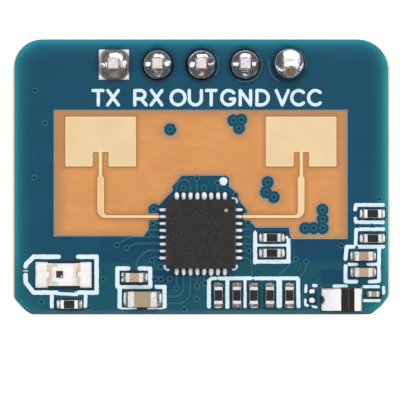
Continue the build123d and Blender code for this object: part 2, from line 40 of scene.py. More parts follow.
# ---- sizes shared with the construction, in millimetres ----
PX = 17.2                       # scale of the reference view: pixels per millimetre on the board's face
X0, Y0 = 201.35, 64.6           # the origin in that view
Z_BACK, Z_LAM0, Z_LAM1, Z_FRONT = 2.54, 2.58, 3.70, 3.74
MASK_X, BOARD_Y0, BOARD_Y1 = 10.87, -14.53, 1.47
PIN_X = [-5.08, -2.54, 0.0, 2.54, 5.08]
PIN_TOP = 5.02
CHIP_X, CHIP_Y, CHIP = -0.03, -9.84, 4.0
FEED = ((-5.86, 1), (5.81, -1))
VIAS = [
    (-9.69, -1.51), (-9.10, -3.40), (-9.70, -6.58), (-4.90, -10.50), (-4.35, -10.66),
    (-5.69, -12.47), (-9.29, -13.79), (-6.49, -14.12), (10.35, -7.81), (9.07, -9.38),
    (9.92, -9.40), (5.49, -11.32), (6.10, -11.46), (8.14, -10.53), (8.93, -10.62),
    (10.49, -11.80), (6.32, -14.14), (-1.03, -7.19), (-0.26, -6.62), (0.14, -7.17),
    (0.94, -6.88), (1.97, -7.60), (-2.78, -8.40), (-2.84, -9.23), (-2.90, -9.74),
    (2.72, -9.23), (2.77, -10.84), (-2.87, -11.38), (-2.38, -11.77), (-2.70, -12.47),
    (-2.35, -12.47), (-1.83, -12.47), (-1.46, -13.01), (-0.26, -12.88), (0.20, -12.72),
    (-0.25, -13.66), (-1.00, -14.23),
]
ISLAND_VIAS = [
    (-1.81, -3.77), (1.86, -3.24), (2.32, -3.20), (2.19, -3.70), (3.86, -6.84),
    (3.76, -7.42), (4.21, -7.70), (7.04, -8.45), (7.05, -8.98), (7.05, -9.51),
    (6.54, -9.51), (6.04, -9.51),
]
ISLAND_R, VIA_R = 0.36, 0.10
OPENING = [
    (-8.59, -2.62), (8.50, -2.62), (8.50, -10.13), (5.21, -10.13),
    (5.08, -9.47), (3.17, -9.47), (2.98, -9.26), (2.79, -9.03),
    (2.37, -9.03), (2.37, -8.65), (2.66, -8.65), (2.66, -8.49), (2.22, -7.93),
    (2.10, -7.49), (1.62, -7.11), (1.62, -6.60), (1.40, -6.45), (-1.12, -6.45),
    (-1.66, -7.05), (-1.66, -7.33), (-2.48, -8.18), (-2.70, -8.08), (-2.90, -8.11),
    (-3.05, -8.25), (-3.10, -8.45), (-3.04, -8.65), (-2.43, -8.65), (-2.43, -9.03),
    (-3.03, -9.03), (-3.08, -9.63), (-3.39, -9.98), (-8.59, -9.98),
]


def q(px, py):
    """A point of the reference view, on the board's face, in millimetres."""
    return ((px - X0) / PX, (Y0 - py) / PX)


def lin(r, g, b, k=1.0):
    """Colour given as 0..255 display values, as the linear values that shaders take."""
    out = []
    for c in (r, g, b):
        c = c / 255
        out.append((c / 12.92 if c <= 0.04045 else ((c + 0.055) / 1.055) ** 2.4) * k)
    return (out[0], out[1], out[2], 1.0)


def vnoise(x, y, seed=0):
    """Smooth repeatable noise, -1 to 1, on arrays."""
    x, y = np.asarray(x, float), np.asarray(y, float)
    xi, yi = np.floor(x).astype(np.int64), np.floor(y).astype(np.int64)
    fx, fy = x - xi, y - yi
    u, v = fx * fx * (3 - 2 * fx), fy * fy * (3 - 2 * fy)

    def h(a, b):
        n = (a * 374761393 + b * 668265263 + seed * 144269504) & 0xFFFFFFFF
        n = ((n ^ (n >> 13)) * 1274126177) & 0xFFFFFFFF
        return ((n ^ (n >> 16)) & 0xFFFF) / 32767.5 - 1

    a = h(xi, yi) * (1 - u) + h(xi + 1, yi) * u
    b = h(xi, yi + 1) * (1 - u) + h(xi + 1, yi + 1) * u
    return a * (1 - v) + b * v


# ================= materials =================
class Mat:
    """A material and a few short ways to add nodes to it."""

    def __init__(self, name):
        self.m = bpy.data.materials.new(name)
        self.m.use_nodes = True
        self.t = self.m.node_tree
        self.t.nodes.clear()
        self.out = self.t.nodes.new("ShaderNodeOutputMaterial")
        self.b = self.t.nodes.new("ShaderNodeBsdfPrincipled")
        self.t.links.new(self.b.outputs[0], self.out.inputs[0])
        tc = self.t.nodes.new("ShaderNodeTexCoord")
        self.obj = tc.outputs["Object"]
        self.p = self.vec("SCALE", self.obj, scale=1000.0)      # position in millimetres

    def put(self, sock, v):
        if isinstance(v, bpy.types.NodeSocket):
            self.t.links.new(v, sock)
        else:
            sock.default_value = v

    def math(self, op, a, b=None, c=None, clamp=False):
        n = self.t.nodes.new("ShaderNodeMath")
        n.operation = op
        n.use_clamp = clamp
        for i, v in enumerate((a, b, c)):
            if v is not None:
                self.put(n.inputs[i], v)
        return n.outputs[0]

    def vec(self, op, a, b=None, scale=None):
        n = self.t.nodes.new("ShaderNodeVectorMath")
        n.operation = op
        self.put(n.inputs[0], a)
        if b is not None:
            self.put(n.inputs[1], b)
        if scale is not None:
            self.put(n.inputs["Scale"], scale)
        return n.outputs["Value"] if op in ("LENGTH", "DISTANCE", "DOT_PRODUCT") else n.outputs["Vector"]

    def sep(self, v=None):
        n = self.t.nodes.new("ShaderNodeSeparateXYZ")
        self.put(n.inputs[0], self.p if v is None else v)
        return n.outputs[0], n.outputs[1], n.outputs[2]

    def comb(self, x, y, z):
        n = self.t.nodes.new("ShaderNodeCombineXYZ")
        for i, v in enumerate((x, y, z)):
            self.put(n.inputs[i], v)
        return n.outputs[0]

    def noise(self, scale, detail=2.0, rough=0.5, vec=None, dist=0.0, colour=False):
        n = self.t.nodes.new("ShaderNodeTexNoise")
        self.put(n.inputs["Vector"], self.p if vec is None else vec)
        n.inputs["Scale"].default_value = scale
        n.inputs["Detail"].default_value = detail
        n.inputs["Roughness"].default_value = rough
        n.inputs["Distortion"].default_value = dist
        return n.outputs["Color"] if colour else n.outputs[0]

    def voronoi(self, scale, vec=None, feature="F1"):
        n = self.t.nodes.new("ShaderNodeTexVoronoi")
        n.feature = feature
        self.put(n.inputs["Vector"], self.p if vec is None else vec)
        n.inputs["Scale"].default_value = scale
        return n

    def map(self, v, a, b, c=0.0, d=1.0, smooth=True):
        n = self.t.nodes.new("ShaderNodeMapRange")
        n.interpolation_type = "SMOOTHSTEP" if smooth else "LINEAR"
        n.clamp = True
        for i, s in enumerate((v, a, b, c, d)):
            self.put(n.inputs[i], s)
        return n.outputs[0]

    def ramp(self, v, stops, interp="LINEAR"):
        n = self.t.nodes.new("ShaderNodeValToRGB")
        n.color_ramp.interpolation = interp
        e = n.color_ramp.elements
        e[0].position, e[0].color = stops[0]
        e[1].position, e[1].color = stops[-1]
        for pos, col in stops[1:-1]:
            x = e.new(pos)
            x.color = col
        self.put(n.inputs[0], v)
        return n.outputs[0]

    def mix(self, f, a, b, mode="MIX"):
        n = self.t.nodes.new("ShaderNodeMix")
        n.data_type = "RGBA"
        n.blend_type = mode
        self.put(n.inputs[0], f)
        self.put(n.inputs[6], a)
        self.put(n.inputs[7], b)
        return n.outputs[2]

    def bump(self, h, strength=1.0, dist=0.00001, normal=None):
        n = self.t.nodes.new("ShaderNodeBump")
        n.inputs["Strength"].default_value = strength
        n.inputs["Distance"].default_value = dist
        self.put(n.inputs["Height"], h)
        if normal is not None:
            self.put(n.inputs["Normal"], normal)
        return n.outputs[0]

    def bevel(self, radius, samples=4):
        n = self.t.nodes.new("ShaderNodeBevel")
        n.samples = samples
        n.inputs["Radius"].default_value = radius * MM
        return n.outputs[0]

    def attr(self, name):
        n = self.t.nodes.new("ShaderNodeAttribute")
        n.attribute_name = name
        return n.outputs["Fac"]

    def set(self, **kw):
        names = dict(color="Base Color", rough="Roughness", metal="Metallic", spec="Specular IOR Level",
                     normal="Normal", ior="IOR", trans="Transmission Weight", coat="Coat Weight",
                     coat_rough="Coat Roughness", alpha="Alpha", sss="Subsurface Weight",
                     emit="Emission Color", emit_s="Emission Strength")
        for k, v in kw.items():
            self.put(self.b.inputs[names[k]], v)
        return self.m

    def box(self, x, y, x0, x1, y0, y1, soft):
        a = self.map(x, x0 - soft, x0 + soft)
        b = self.map(x, x1 + soft, x1 - soft)
        c = self.map(y, y0 - soft, y0 + soft)
        d = self.map(y, y1 + soft, y1 - soft)
        return self.math("MULTIPLY", self.math("MULTIPLY", a, b), self.math("MULTIPLY", c, d))


def edge_distance(M, x, y):
    """Distance inwards from the board's outline, in millimetres."""
    r = 1.70
    qx = M.math("SUBTRACT", M.math("ABSOLUTE", x), MASK_X - r)
    qy = M.math("SUBTRACT", y, BOARD_Y1 - r)
    mx, my = M.math("MAXIMUM", qx, 0.0), M.math("MAXIMUM", qy, 0.0)
    out = M.math("SQRT", M.math("ADD", M.math("MULTIPLY", mx, mx), M.math("MULTIPLY", my, my)))
    ins = M.math("MINIMUM", M.math("MAXIMUM", qx, qy), 0.0)
    d = M.math("SUBTRACT", r, M.math("ADD", out, ins))
    for c, a, b in ((17.560, 0.5693, 0.8222), (17.235, 0.7289, 0.6847), (17.481, -0.6247, 0.7809), (16.846, -0.7901, 0.6130)):
        cut = M.math("ADD", c, M.math("ADD", M.math("MULTIPLY", x, a), M.math("MULTIPLY", y, b)))
        d = M.math("MINIMUM", d, cut)
    return d


def mask_colour(M, k=1.0, tint=None):
    """Solder mask ink: dark blue over copper, teal at the bare rim with a painted sheen towards the right and top
    edges, greener low on the board, painted shade round the header's joints.
    """
    x, y, z = M.sep()
    blue = lin(14, 72, 97, k)
    green = lin(19, 82, 94, k)
    deep = lin(12, 60, 91, k)
    low = M.map(y, -11.30, -11.62)
    b1 = M.box(x, y, 5.45, 8.30, -11.30, -10.2, 0.05)
    b2 = M.box(x, y, 6.95, 8.30, -12.75, -11.95, 0.06)
    b3 = M.box(x, y, -5.90, -2.55, -11.40, -10.1, 0.25)
    b4 = M.box(x, y, -3.0, -0.9, -13.15, -11.95, 0.12)
    n = M.noise(0.55, 2.0)
    low = M.math("MULTIPLY", low, M.map(n, 0.25, 0.6, 0.75, 1.0))
    c = M.mix(low, blue, green)
    dd = M.math("MAXIMUM", M.math("MAXIMUM", b1, b2), M.math("MAXIMUM", b3, b4))
    front = M.map(z, 3.0, 3.2)
    c = M.mix(M.math("MULTIPLY", M.math("MULTIPLY", dd, 0.85), front), c, deep)
    # slow unevenness of the ink
    c = M.mix(M.map(n, 0.3, 0.7, 0.0, 0.5), c, lin(20, 81, 104, k))
    # the ink pales towards the bare rim, where no copper lies behind it; a painted sheen brightens that rim further
    # towards the right and top edges
    d = edge_distance(M, x, y)
    wob = M.math("MULTIPLY", M.math("SUBTRACT", M.noise(0.8, 1.0), 0.5), 0.10)
    d = M.math("ADD", d, wob)
    rim = M.math("EXPONENT", M.math("MULTIPLY", M.math("MAXIMUM", M.math("SUBTRACT", d, 0.12), 0.0), -3.9))
    lower = M.map(y, -10.6, -12.6, 1.0, 0.62)
    rim = M.math("MULTIPLY", rim, lower)
    # painted sheen: paler teal towards the right edge, bluer towards the top edge
    rim_teal_and_sheen = M.mix(M.map(x, 8.0, 10.0), lin(34, 130, 138, k), lin(35, 145, 148, k))
    rim_teal_and_sheen = M.mix(M.map(y, 0.2, 1.1), rim_teal_and_sheen, lin(38, 134, 153, k))
    c = M.mix(rim, c, rim_teal_and_sheen)
    foot = M.map(y, -14.20, -14.36)
    foot = M.math("MULTIPLY", foot, M.map(M.noise(2.2, 2.0), 0.3, 0.6, 0.45, 1.0))
    c = M.mix(foot, c, lin(56, 94, 103, k))
    # painted shade: darker close round the header's joints, where the ink runs down to the lands
    fold = M.math("SUBTRACT", M.math("MODULO", M.math("ADD", x, 26.67), 2.54), 1.27)
    rr = M.math("SQRT", M.math("ADD", M.math("MULTIPLY", fold, fold), M.math("MULTIPLY", y, y)))
    joint_shade = M.math("MULTIPLY", M.map(rr, 1.30, 0.95, 0.0, 0.50), M.map(M.math("ABSOLUTE", x), 6.5, 6.3))
    c = M.mix(joint_shade, c, lin(12, 46, 62, k))
    if tint is not None:
        c = M.mix(tint[0], c, tint[1])
    return c


def make_mask(name, tint=None, bump=0.000004, rough=0.34):
    M = Mat(name)
    h = M.math("ADD", M.noise(3.0, 3.0), M.math("MULTIPLY", M.noise(22.0, 2.0), 0.25))
    r = M.map(M.noise(5.0, 2.0), 0.3, 0.7, rough - 0.05, rough + 0.07)
    return M.set(color=mask_colour(M, 1.0, tint), rough=r, spec=0.20, normal=M.bump(h, 0.5, bump))


def metal(name, c0, c1, rough=(0.3, 0.5), scale=12.0, bump=0.000006, metallic=1.0, bevel=None, spots=None):
    """Tinned or plated metal: patchy colour and gloss, fine grain."""
    M = Mat(name)
    n = M.noise(scale, 4.0, 0.6)
    f = M.noise(scale * 3.1, 3.0, 0.6)
    c = M.mix(M.map(n, 0.32, 0.68), c0, c1)
    if spots is not None:
        c = M.mix(M.map(M.noise(scale * 1.7, 2.0, 0.6), 0.60, 0.70), c, spots)
    r = M.map(f, 0.3, 0.7, rough[0], rough[1])
    nrm = M.bevel(bevel) if bevel else None
    h = M.math("ADD", n, M.math("MULTIPLY", f, 0.4))
    return M.set(color=c, rough=r, metal=metallic, normal=M.bump(h, 0.6, bump, nrm))


def plastic(name, c0, c1, rough=0.5, grain=30.0, bump=0.000004, bevel=0.03, fleck=None, spec=0.4):
    """Moulded plastic: fine grain, a few paler flecks of filler."""
    M = Mat(name)
    n = M.noise(grain, 3.0, 0.65)
    c = M.mix(M.map(n, 0.3, 0.7), c0, c1)
    if fleck is not None:
        v = M.noise(grain * 0.75, 2.0, 0.7, vec=M.vec("ADD", M.p, (13.1, 4.2, 7.7)))
        c = M.mix(M.map(v, 0.60, 0.74), c, fleck)
    nrm = M.bevel(bevel) if bevel else None
    return M.set(color=c, rough=M.map(n, 0.3, 0.7, rough - 0.06, rough + 0.08), spec=spec,
                 normal=M.bump(n, 0.6, bump, nrm))


mask_mat = make_mask("mask_ink")
trace_mat = make_mask("mask_over_trace", (0.64, lin(36, 100, 117)))
gap_mat = make_mask("mask_over_gap", (0.65, lin(18, 56, 86)))
ring_mat = make_mask("mask_over_via_ring", (0.45, lin(52, 112, 124)))
# pale tint of the ink's raised lip: a painted highlight
lip_highlight_mat = make_mask("mask_lip_painted_highlight", (0.62, lin(104, 140, 158)))
# dark tint of the ink's edge round the joints: painted shade
fringe_shade_mat = make_mask("mask_fringe_painted_shade", (0.60, lin(20, 42, 54)))
# dark tint for the mask's step round the lands: painted shade, over the ink's wet edge
step_shade_mat = make_mask("mask_step_painted_shade", (0.80, lin(24, 44, 60)))


def speckled_solder():
    """Solder run out over a land: bright grains on dark, glossy metal."""
    M = Mat("solder_fillet")
    n = M.noise(13.0, 3.0, 0.65)
    f = M.noise(5.0, 2.0, 0.5)
    c = M.ramp(M.math("ADD", M.math("MULTIPLY", n, 0.75), M.math("MULTIPLY", f, 0.25)),
               [(0.36, lin(70, 72, 74)), (0.48, lin(140, 142, 142)), (0.60, lin(224, 224, 220))])
    h = M.math("ADD", n, M.math("MULTIPLY", f, 0.8))
    return M.set(color=c, rough=M.map(n, 0.35, 0.65, 0.22, 0.42), metal=0.75, normal=M.bump(h, 0.9, 0.00003))


fillet_mat = speckled_solder()


def laminate_edge_material():
    """Sawn edge of the glass-epoxy board: pale cream with faint layers."""
    M = Mat("laminate_edge")
    x, y, z = M.sep()
    layers = M.math("SINE", M.math("MULTIPLY", M.math("ADD", z, M.math("MULTIPLY", M.noise(2.0), 0.05)), 42.0))
    fib = M.noise(1.0, 3.0, 0.6, vec=M.vec("MULTIPLY", M.p, (9.0, 9.0, 60.0)))
    c = M.mix(M.map(layers, -1.0, 1.0, 0.0, 0.5), lin(228, 220, 188), lin(206, 196, 158))
    c = M.mix(M.map(fib, 0.35, 0.7, 0.0, 0.5), c, lin(242, 238, 216))
    h = M.math("ADD", M.math("MULTIPLY", layers, 0.3), fib)
    return M.set(color=c, rough=0.62, spec=0.3, normal=M.bump(h, 0.6, 0.00001))


def laminate_face_material():
    """Bare laminate seen from the front: warm orange, weave just showing; painted shade darkens it towards the window's
    corners, it is greyer beside the mask from the ink's bleed and painted shade, and painted shadow browns it beside
    the copper.
    """
    M = Mat("laminate_face")
    x, y, z = M.sep()
    n = M.noise(0.35, 3.0, 0.55)
    n2 = M.noise(1.6, 3.0, 0.6, vec=M.vec("MULTIPLY", M.p, (0.6, 1.6, 1.0)))
    c = M.mix(M.map(n, 0.3, 0.7), lin(214, 148, 85), lin(221, 155, 90))
    c = M.mix(M.map(n2, 0.35, 0.72, 0.0, 0.35), c, lin(198, 134, 86))
    wx = M.math("SINE", M.math("MULTIPLY", x, 24.0))
    wy = M.math("SINE", M.math("MULTIPLY", y, 24.0))
    weave = M.math("MULTIPLY", wx, wy)
    c = M.mix(M.map(weave, -1.0, 1.0, 0.0, 0.10), c, lin(196, 134, 84))
    # painted shade: darker and browner towards the corners of the window
    top = M.map(y, -3.35, -2.65)
    left = M.map(x, -7.6, -8.5)
    right = M.map(x, 7.7, 8.5)
    low = M.map(y, -9.3, -10.1)
    s = M.math("MAXIMUM", M.math("MAXIMUM", M.math("MULTIPLY", top, 0.55), M.math("MULTIPLY", left, 0.72)),
               M.math("MAXIMUM", M.math("MULTIPLY", right, 0.66), M.math("MULTIPLY", low, 0.24)))
    c = M.mix(s, c, lin(172, 124, 88))
    # greyer beside the mask: the ink's bleed, with painted shade from the mask's step
    edge = M.attr("edge")
    e = M.map(edge, 0.15, 0.02, 0.0, 0.80)
    e2 = M.map(edge, 0.50, 0.05, 0.0, 0.45)
    c = M.mix(e2, c, lin(176, 132, 94))
    c = M.mix(e, c, lin(150, 138, 116))
    # painted shadow of the copper, browner close beside it
    pat = M.attr("patch")
    patch_shadow = M.map(pat, 0.36, 0.06, 0.0, 0.40)
    c = M.mix(patch_shadow, c, lin(160, 106, 64))
    patch_shadow = M.map(pat, 0.12, 0.0, 0.0, 0.55)
    c = M.mix(patch_shadow, c, lin(146, 92, 52))
    h = M.math("ADD", weave, M.math("MULTIPLY", M.noise(9.0, 2.0), 1.2))
    return M.set(color=c, rough=M.map(n2, 0.3, 0.7, 0.42, 0.55), spec=0.25, normal=M.bump(h, 0.4, 0.000003))


def patch_material():
    """Plated antenna copper: matt pale gold, fine rolled grain, warmer along the feed lines."""
    M = Mat("antenna_gold")
    x, y, z = M.sep()
    n = M.noise(0.5, 3.0, 0.6)
    g = M.noise(1.0, 4.0, 0.7, vec=M.vec("MULTIPLY", M.p, (26.0, 26.0, 4.0)))
    c = M.mix(M.map(n, 0.3, 0.7), lin(240, 210, 162), lin(246, 219, 174))
    c = M.mix(M.map(g, 0.35, 0.7, 0.0, 0.25), c, lin(230, 198, 150))
    warm = M.mix(M.map(x, -1.0, 1.0), lin(244, 203, 150), lin(250, 218, 168))
    c = M.mix(M.map(y, -5.95, -6.05), c, warm)
    return M.set(color=c, rough=M.map(g, 0.3, 0.7, 0.46, 0.58), metal=0.30, spec=0.4,
                 normal=M.bump(g, 0.5, 0.000003, M.bevel(0.012)))


lam_edge_mat = laminate_edge_material()
lam_face_mat = laminate_face_material()
patch_mat = patch_material()
# paler gold for the copper's edge bead: a painted highlight
patch_edge_highlight_mat = metal("antenna_gold_edge_highlight", lin(255, 224, 176), lin(254, 214, 164), (0.4, 0.5), 8.0, 0.000002, 0.2)
land_mat = metal("land_tin", lin(176, 176, 174), lin(140, 142, 142), (0.35, 0.5), 10.0, metallic=0.9, bevel=0.012)


def pin_material():
    """Tinned square wire: bright and smooth along its length, dull and frosted where the tip was cut and dipped."""
    M = Mat("pin_tin")
    n = M.noise(6.0, 4.0, 0.6)
    f = M.noise(18.6, 3.0, 0.6)
    x, y, z = M.sep()
    tip = M.map(z, 4.30, 4.70)
    c = M.mix(M.map(n, 0.32, 0.68), lin(250, 242, 240), lin(226, 216, 214))
    c = M.mix(M.map(M.noise(10.2, 2.0, 0.6), 0.60, 0.70), c, lin(186, 176, 176))
    c = M.mix(tip, M.mix(M.map(n, 0.2, 0.8), lin(214, 212, 208), lin(198, 196, 193)), c)
    r = M.math("ADD", M.map(f, 0.3, 0.7, 0.24, 0.32), M.math("MULTIPLY", tip, 0.14))
    k = M.math("SUBTRACT", 1.0, M.math("MULTIPLY", tip, 0.60))
    h = M.math("MULTIPLY", M.math("ADD", n, M.math("MULTIPLY", f, 0.4)), M.math("ADD", 0.12, M.math("MULTIPLY", tip, 0.88)))
    return M.set(color=c, rough=r, metal=k, normal=M.bump(h, 0.6, 0.000008, M.bevel(0.035)))


pin_mat = pin_material()


def joint_material(name, c0, c1, r0, r1, rim, brown0, brown1):
    """Bright solder: a mirror, with painted dark reflection darkening it towards its rim and most at the very edge, and
    a painted brown reflection, rougher too, on the patch its attribute marks.
    """
    M = Mat(name)
    n = M.noise(4.0, 4.0, 0.6)
    g = M.noise(16.0, 3.0, 0.6)
    c = M.mix(M.map(n, 0.32, 0.68), c0, c1)
    # painted dark reflection: darker towards the rim, near the mask's navy at the very edge
    c = M.mix(M.attr("rim"), c, rim)
    c = M.mix(M.attr("edge"), c, lin(40, 56, 68))
    # painted brown reflection on the lower side, made rougher as well
    c = M.mix(M.attr("painted_brown_reflection"), c, M.mix(M.map(g, 0.40, 0.60), brown0, brown1))
    r = M.math("ADD", M.map(n, 0.3, 0.7, r0, r1), M.math("MULTIPLY", M.attr("painted_brown_reflection"), 0.26))
    return M.set(color=c, rough=r, metal=1.0, normal=M.bump(n, 0.6, 0.000004))


joint_mat = joint_material("solder_bright", lin(206, 206, 208), lin(176, 178, 182), 0.11, 0.21, lin(122, 132, 140), lin(104, 82, 62), lin(190, 160, 126))
joint_dull_mat = joint_material("solder_dull", lin(252, 249, 246), lin(210, 202, 196), 0.14, 0.24, lin(176, 172, 168), lin(126, 114, 104), lin(176, 166, 156))
land_dark_mat = metal("land_tin_shaded", lin(64, 84, 96), lin(46, 66, 78), (0.4, 0.55), 10.0, metallic=0.6, bevel=0.012)


def corner_tin_material():
    """Tin on the square land: thin and grey beside the joint, thick in the corners and whitened there by a painted
    highlight; painted light pales its left side, a painted brown reflection darkens its lower side, painted shade
    darkens a line round the joint.
    """
    M = Mat("land_corner_tin")
    n = M.noise(8.0, 4.0, 0.6)
    x, y, z = M.sep()
    thin = M.mix(M.map(n, 0.32, 0.68), lin(104, 107, 110), lin(142, 142, 141))
    # painted light pales the left side, a painted brown reflection darkens the lower side, painted shade darkens the
    # line round the joint
    thin = M.mix(M.map(x, -5.75, -5.88, 0.0, 0.8), thin, lin(206, 203, 200))
    thin = M.mix(M.map(y, 0.1, -0.6, 0.0, 0.7), thin, lin(100, 90, 83))
    thin = M.mix(M.attr("line"), thin, lin(44, 48, 54))
    full = M.mix(M.map(n, 0.32, 0.68), lin(250, 252, 252), lin(236, 240, 242))
    # the thick corners whitened as a painted highlight
    c = M.mix(M.attr("corner_tin_highlight"), thin, full)
    return M.set(color=c, rough=M.map(n, 0.3, 0.7, 0.36, 0.5), metal=0.3, normal=M.bump(n, 0.6, 0.000006))


corner_tin_mat = corner_tin_material()
toe_mat = metal("solder_toe", lin(255, 255, 253), lin(236, 238, 238), (0.4, 0.55), 12.0, 0.000008, 0.25)
lead_fillet_mat = metal("solder_lead", lin(255, 255, 255), lin(246, 248, 250), (0.45, 0.6), 10.0, 0.000006, 0.15)
cap_end_mat = metal("chip_end_tin", lin(248, 246, 243), lin(224, 221, 218), (0.38, 0.55), 9.0, 0.00001, 0.35,
                    spots=lin(184, 178, 174))
tin_sheet_mat = metal("terminal_tin", lin(252, 252, 250), lin(244, 243, 241), (0.5, 0.62), 5.0, 0.000006, 0.25)
lead_mat = metal("lead_metal", lin(206, 202, 196), lin(180, 174, 168), (0.3, 0.5), 14.0, bevel=0.015)
crystal_lid_mat = metal("crystal_lid", lin(214, 208, 196), lin(196, 188, 174), (0.25, 0.4), 6.0, bevel=0.03)
barrel_mat = metal("via_plating", lin(120, 84, 50), lin(90, 66, 44), (0.4, 0.6), 14.0)
def chip_material():
    """Moulded epoxy: dark, coarse sanded grain with paler filler flecks and a faint mottle."""
    M = Mat("mould_compound")
    n = M.noise(11.0, 3.0, 0.7)
    f = M.noise(19.0, 2.0, 0.6, vec=M.vec("ADD", M.p, (5.3, 2.2, 7.7)))
    w = M.noise(3.2, 2.0, 0.5)
    c = M.mix(M.map(n, 0.36, 0.64), lin(26, 23, 23), lin(58, 54, 54))
    c = M.mix(M.map(f, 0.56, 0.68, 0.0, 0.9), c, lin(90, 83, 80))
    c = M.mix(M.map(w, 0.3, 0.7, 0.0, 0.4), c, lin(36, 33, 34))
    return M.set(color=c, rough=M.map(n, 0.3, 0.7, 0.5, 0.66), spec=0.25, normal=M.bump(n, 0.7, 0.00001))


chip_mat = chip_material()
dot_mat = plastic("dimple_floor", lin(176, 172, 168), lin(150, 146, 142), 0.5, 9.0, 0.000004, None, lin(196, 192, 190), 0.3)
chip_rim_mat = plastic("mould_compound_edge", lin(92, 86, 82), lin(120, 114, 108), 0.5, 20.0, 0.000004, None)
mcu_mat = plastic("mould_compound_back", lin(34, 33, 34), lin(50, 49, 49), 0.5, 20.0, 0.000006, 0.02, lin(84, 82, 80), 0.3)
housing_mat = plastic("header_nylon", lin(22, 22, 23), lin(32, 32, 33), 0.42, 24.0, 0.000005, 0.05, None, 0.45)
glaze_mat = plastic("resistor_glaze", lin(34, 33, 36), lin(48, 46, 50), 0.34, 14.0, 0.000004, None, lin(72, 70, 74), 0.25)
alumina_mat = plastic("resistor_ceramic", lin(206, 200, 198), lin(186, 180, 180), 0.5, 20.0, 0.000003, None)
cap_body_mat = plastic("capacitor_ceramic", lin(181, 156, 134), lin(191, 167, 146), 0.36, 11.0, 0.000003, None, lin(170, 144, 120), 0.3)
cap_big_mat = plastic("capacitor_ceramic_large", lin(166, 146, 122), lin(174, 154, 131), 0.36, 9.0, 0.000003, None, lin(164, 142, 116), 0.3)
cap_small_mat = plastic("capacitor_ceramic_small", lin(150, 138, 130), lin(170, 158, 148), 0.4, 12.0, 0.000003, None, None, 0.3)
prot_mat = plastic("protection_body", lin(30, 24, 26), lin(44, 36, 37), 0.4, 16.0, 0.000004, None, None, 0.3)
prot_line_mat = plastic("protection_line", lin(78, 68, 70), lin(66, 58, 60), 0.45, 16.0, 0.000003, None, None, 0.3)
crystal_mat = plastic("crystal_ceramic", lin(66, 58, 50), lin(80, 72, 62), 0.5, 18.0, 0.000004, 0.03)
led_base_mat = plastic("led_laminate", lin(255, 252, 251), lin(248, 244, 242), 0.5, 12.0, 0.000004, None, lin(212, 202, 190), 0.3)
led_gold_mat = metal("led_pad", lin(240, 226, 200), lin(220, 196, 168), (0.42, 0.56), 5.0, 0.000004, 0.3, spots=lin(186, 156, 132))
led_pink_mat = plastic("led_reflector", lin(255, 253, 253), lin(255, 248, 247), 0.45, 9.0, 0.000004, None, lin(252, 240, 234), 0.3)
led_green_mat = plastic("led_mark", lin(168, 226, 196), lin(196, 236, 214), 0.5, 10.0, 0.000003, None, None, 0.3)
die_mat = plastic("led_die", lin(22, 17, 20), lin(38, 30, 30), 0.3, 20.0, 0.000003, None, lin(84, 60, 66))
plug_mat = plastic("via_plug_ink", lin(4, 34, 54), lin(9, 45, 66), 0.6, 16.0, 0.000003, None)


def silk_material():
    M = Mat("marking_ink")
    n = M.noise(6.0, 3.0, 0.6)
    f = M.noise(26.0, 2.0, 0.6)
    c = M.mix(M.map(n, 0.3, 0.7), lin(215, 237, 251), lin(225, 243, 252))
    c = M.mix(M.map(f, 0.58, 0.75, 0.0, 0.35), c, lin(196, 222, 236))
    return M.set(color=c, rough=M.map(f, 0.3, 0.7, 0.5, 0.66), spec=0.25, normal=M.bump(f, 0.5, 0.000004))


silk_mat = silk_material()


def lens_material():
    """Clear epoxy over the emitter: see-through, shiny where it leans, faintly milky."""
    M = Mat("led_lens")
    n = M.noise(5.0, 2.0)
    M.set(color=M.mix(M.map(n, 0.3, 0.7), lin(255, 250, 248), lin(252, 244, 240)), rough=M.map(n, 0.3, 0.7, 0.10, 0.18),
          spec=0.3, normal=M.bump(n, 0.3, 0.000003))
    clear = M.t.nodes.new("ShaderNodeBsdfTransparent")
    lw = M.t.nodes.new("ShaderNodeFresnel")
    lw.inputs[0].default_value = 1.45
    f = M.math("ADD", M.math("MULTIPLY", lw.outputs[0], 0.6), M.map(n, 0.3, 0.7, 0.0, 0.02))
    mx = M.t.nodes.new("ShaderNodeMixShader")
    M.t.links.new(f, mx.inputs[0])
    M.t.links.new(clear.outputs[0], mx.inputs[1])
    M.t.links.new(M.b.outputs[0], mx.inputs[2])
    M.t.links.new(mx.outputs[0], M.out.inputs[0])
    return M.m


lens_mat = lens_material()


def dress(node, *mats):
    ob = nodes[node]
    ob.data.materials.clear()
    for m in mats:
        ob.data.materials.append(m)


# ================= meshes =================
class Shell:
    """Collects closed shells, each with a material number, and makes one object of them."""

    def __init__(self):
        self.v, self.f, self.k, self.n = [], [], [], 0

    def add(self, verts, faces, mat=0):
        verts = np.asarray(verts, float)
        self.v.append(verts)
        for f in faces:
            self.f.append([i + self.n for i in f])
            self.k.append(mat)
        self.n += len(verts)
        return self

    def build(self, name, mats, slot, replaces=(), sharp=38.0, attrs=None):
        me = bpy.data.meshes.new(name)
        v = np.concatenate(self.v) * MM
        me.from_pydata(v.tolist(), [], self.f)
        for m in mats:
            me.materials.append(m)
        me.polygons.foreach_set("material_index", np.array(self.k, np.int32))
        me.polygons.foreach_set("use_smooth", np.ones(len(self.f), bool))
        for an, av in (attrs or {}).items():
            a = me.attributes.new(an, "FLOAT", "POINT")
            a.data.foreach_set("value", np.asarray(av, np.float32))
        me.update()
        me.set_sharp_from_angle(angle=math.radians(sharp))
        ob = bpy.data.objects.new(name, me)
        bpy.context.scene.collection.objects.link(ob)
        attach(ob, "root")
        if replaces:
            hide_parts(*replaces)
        return ob


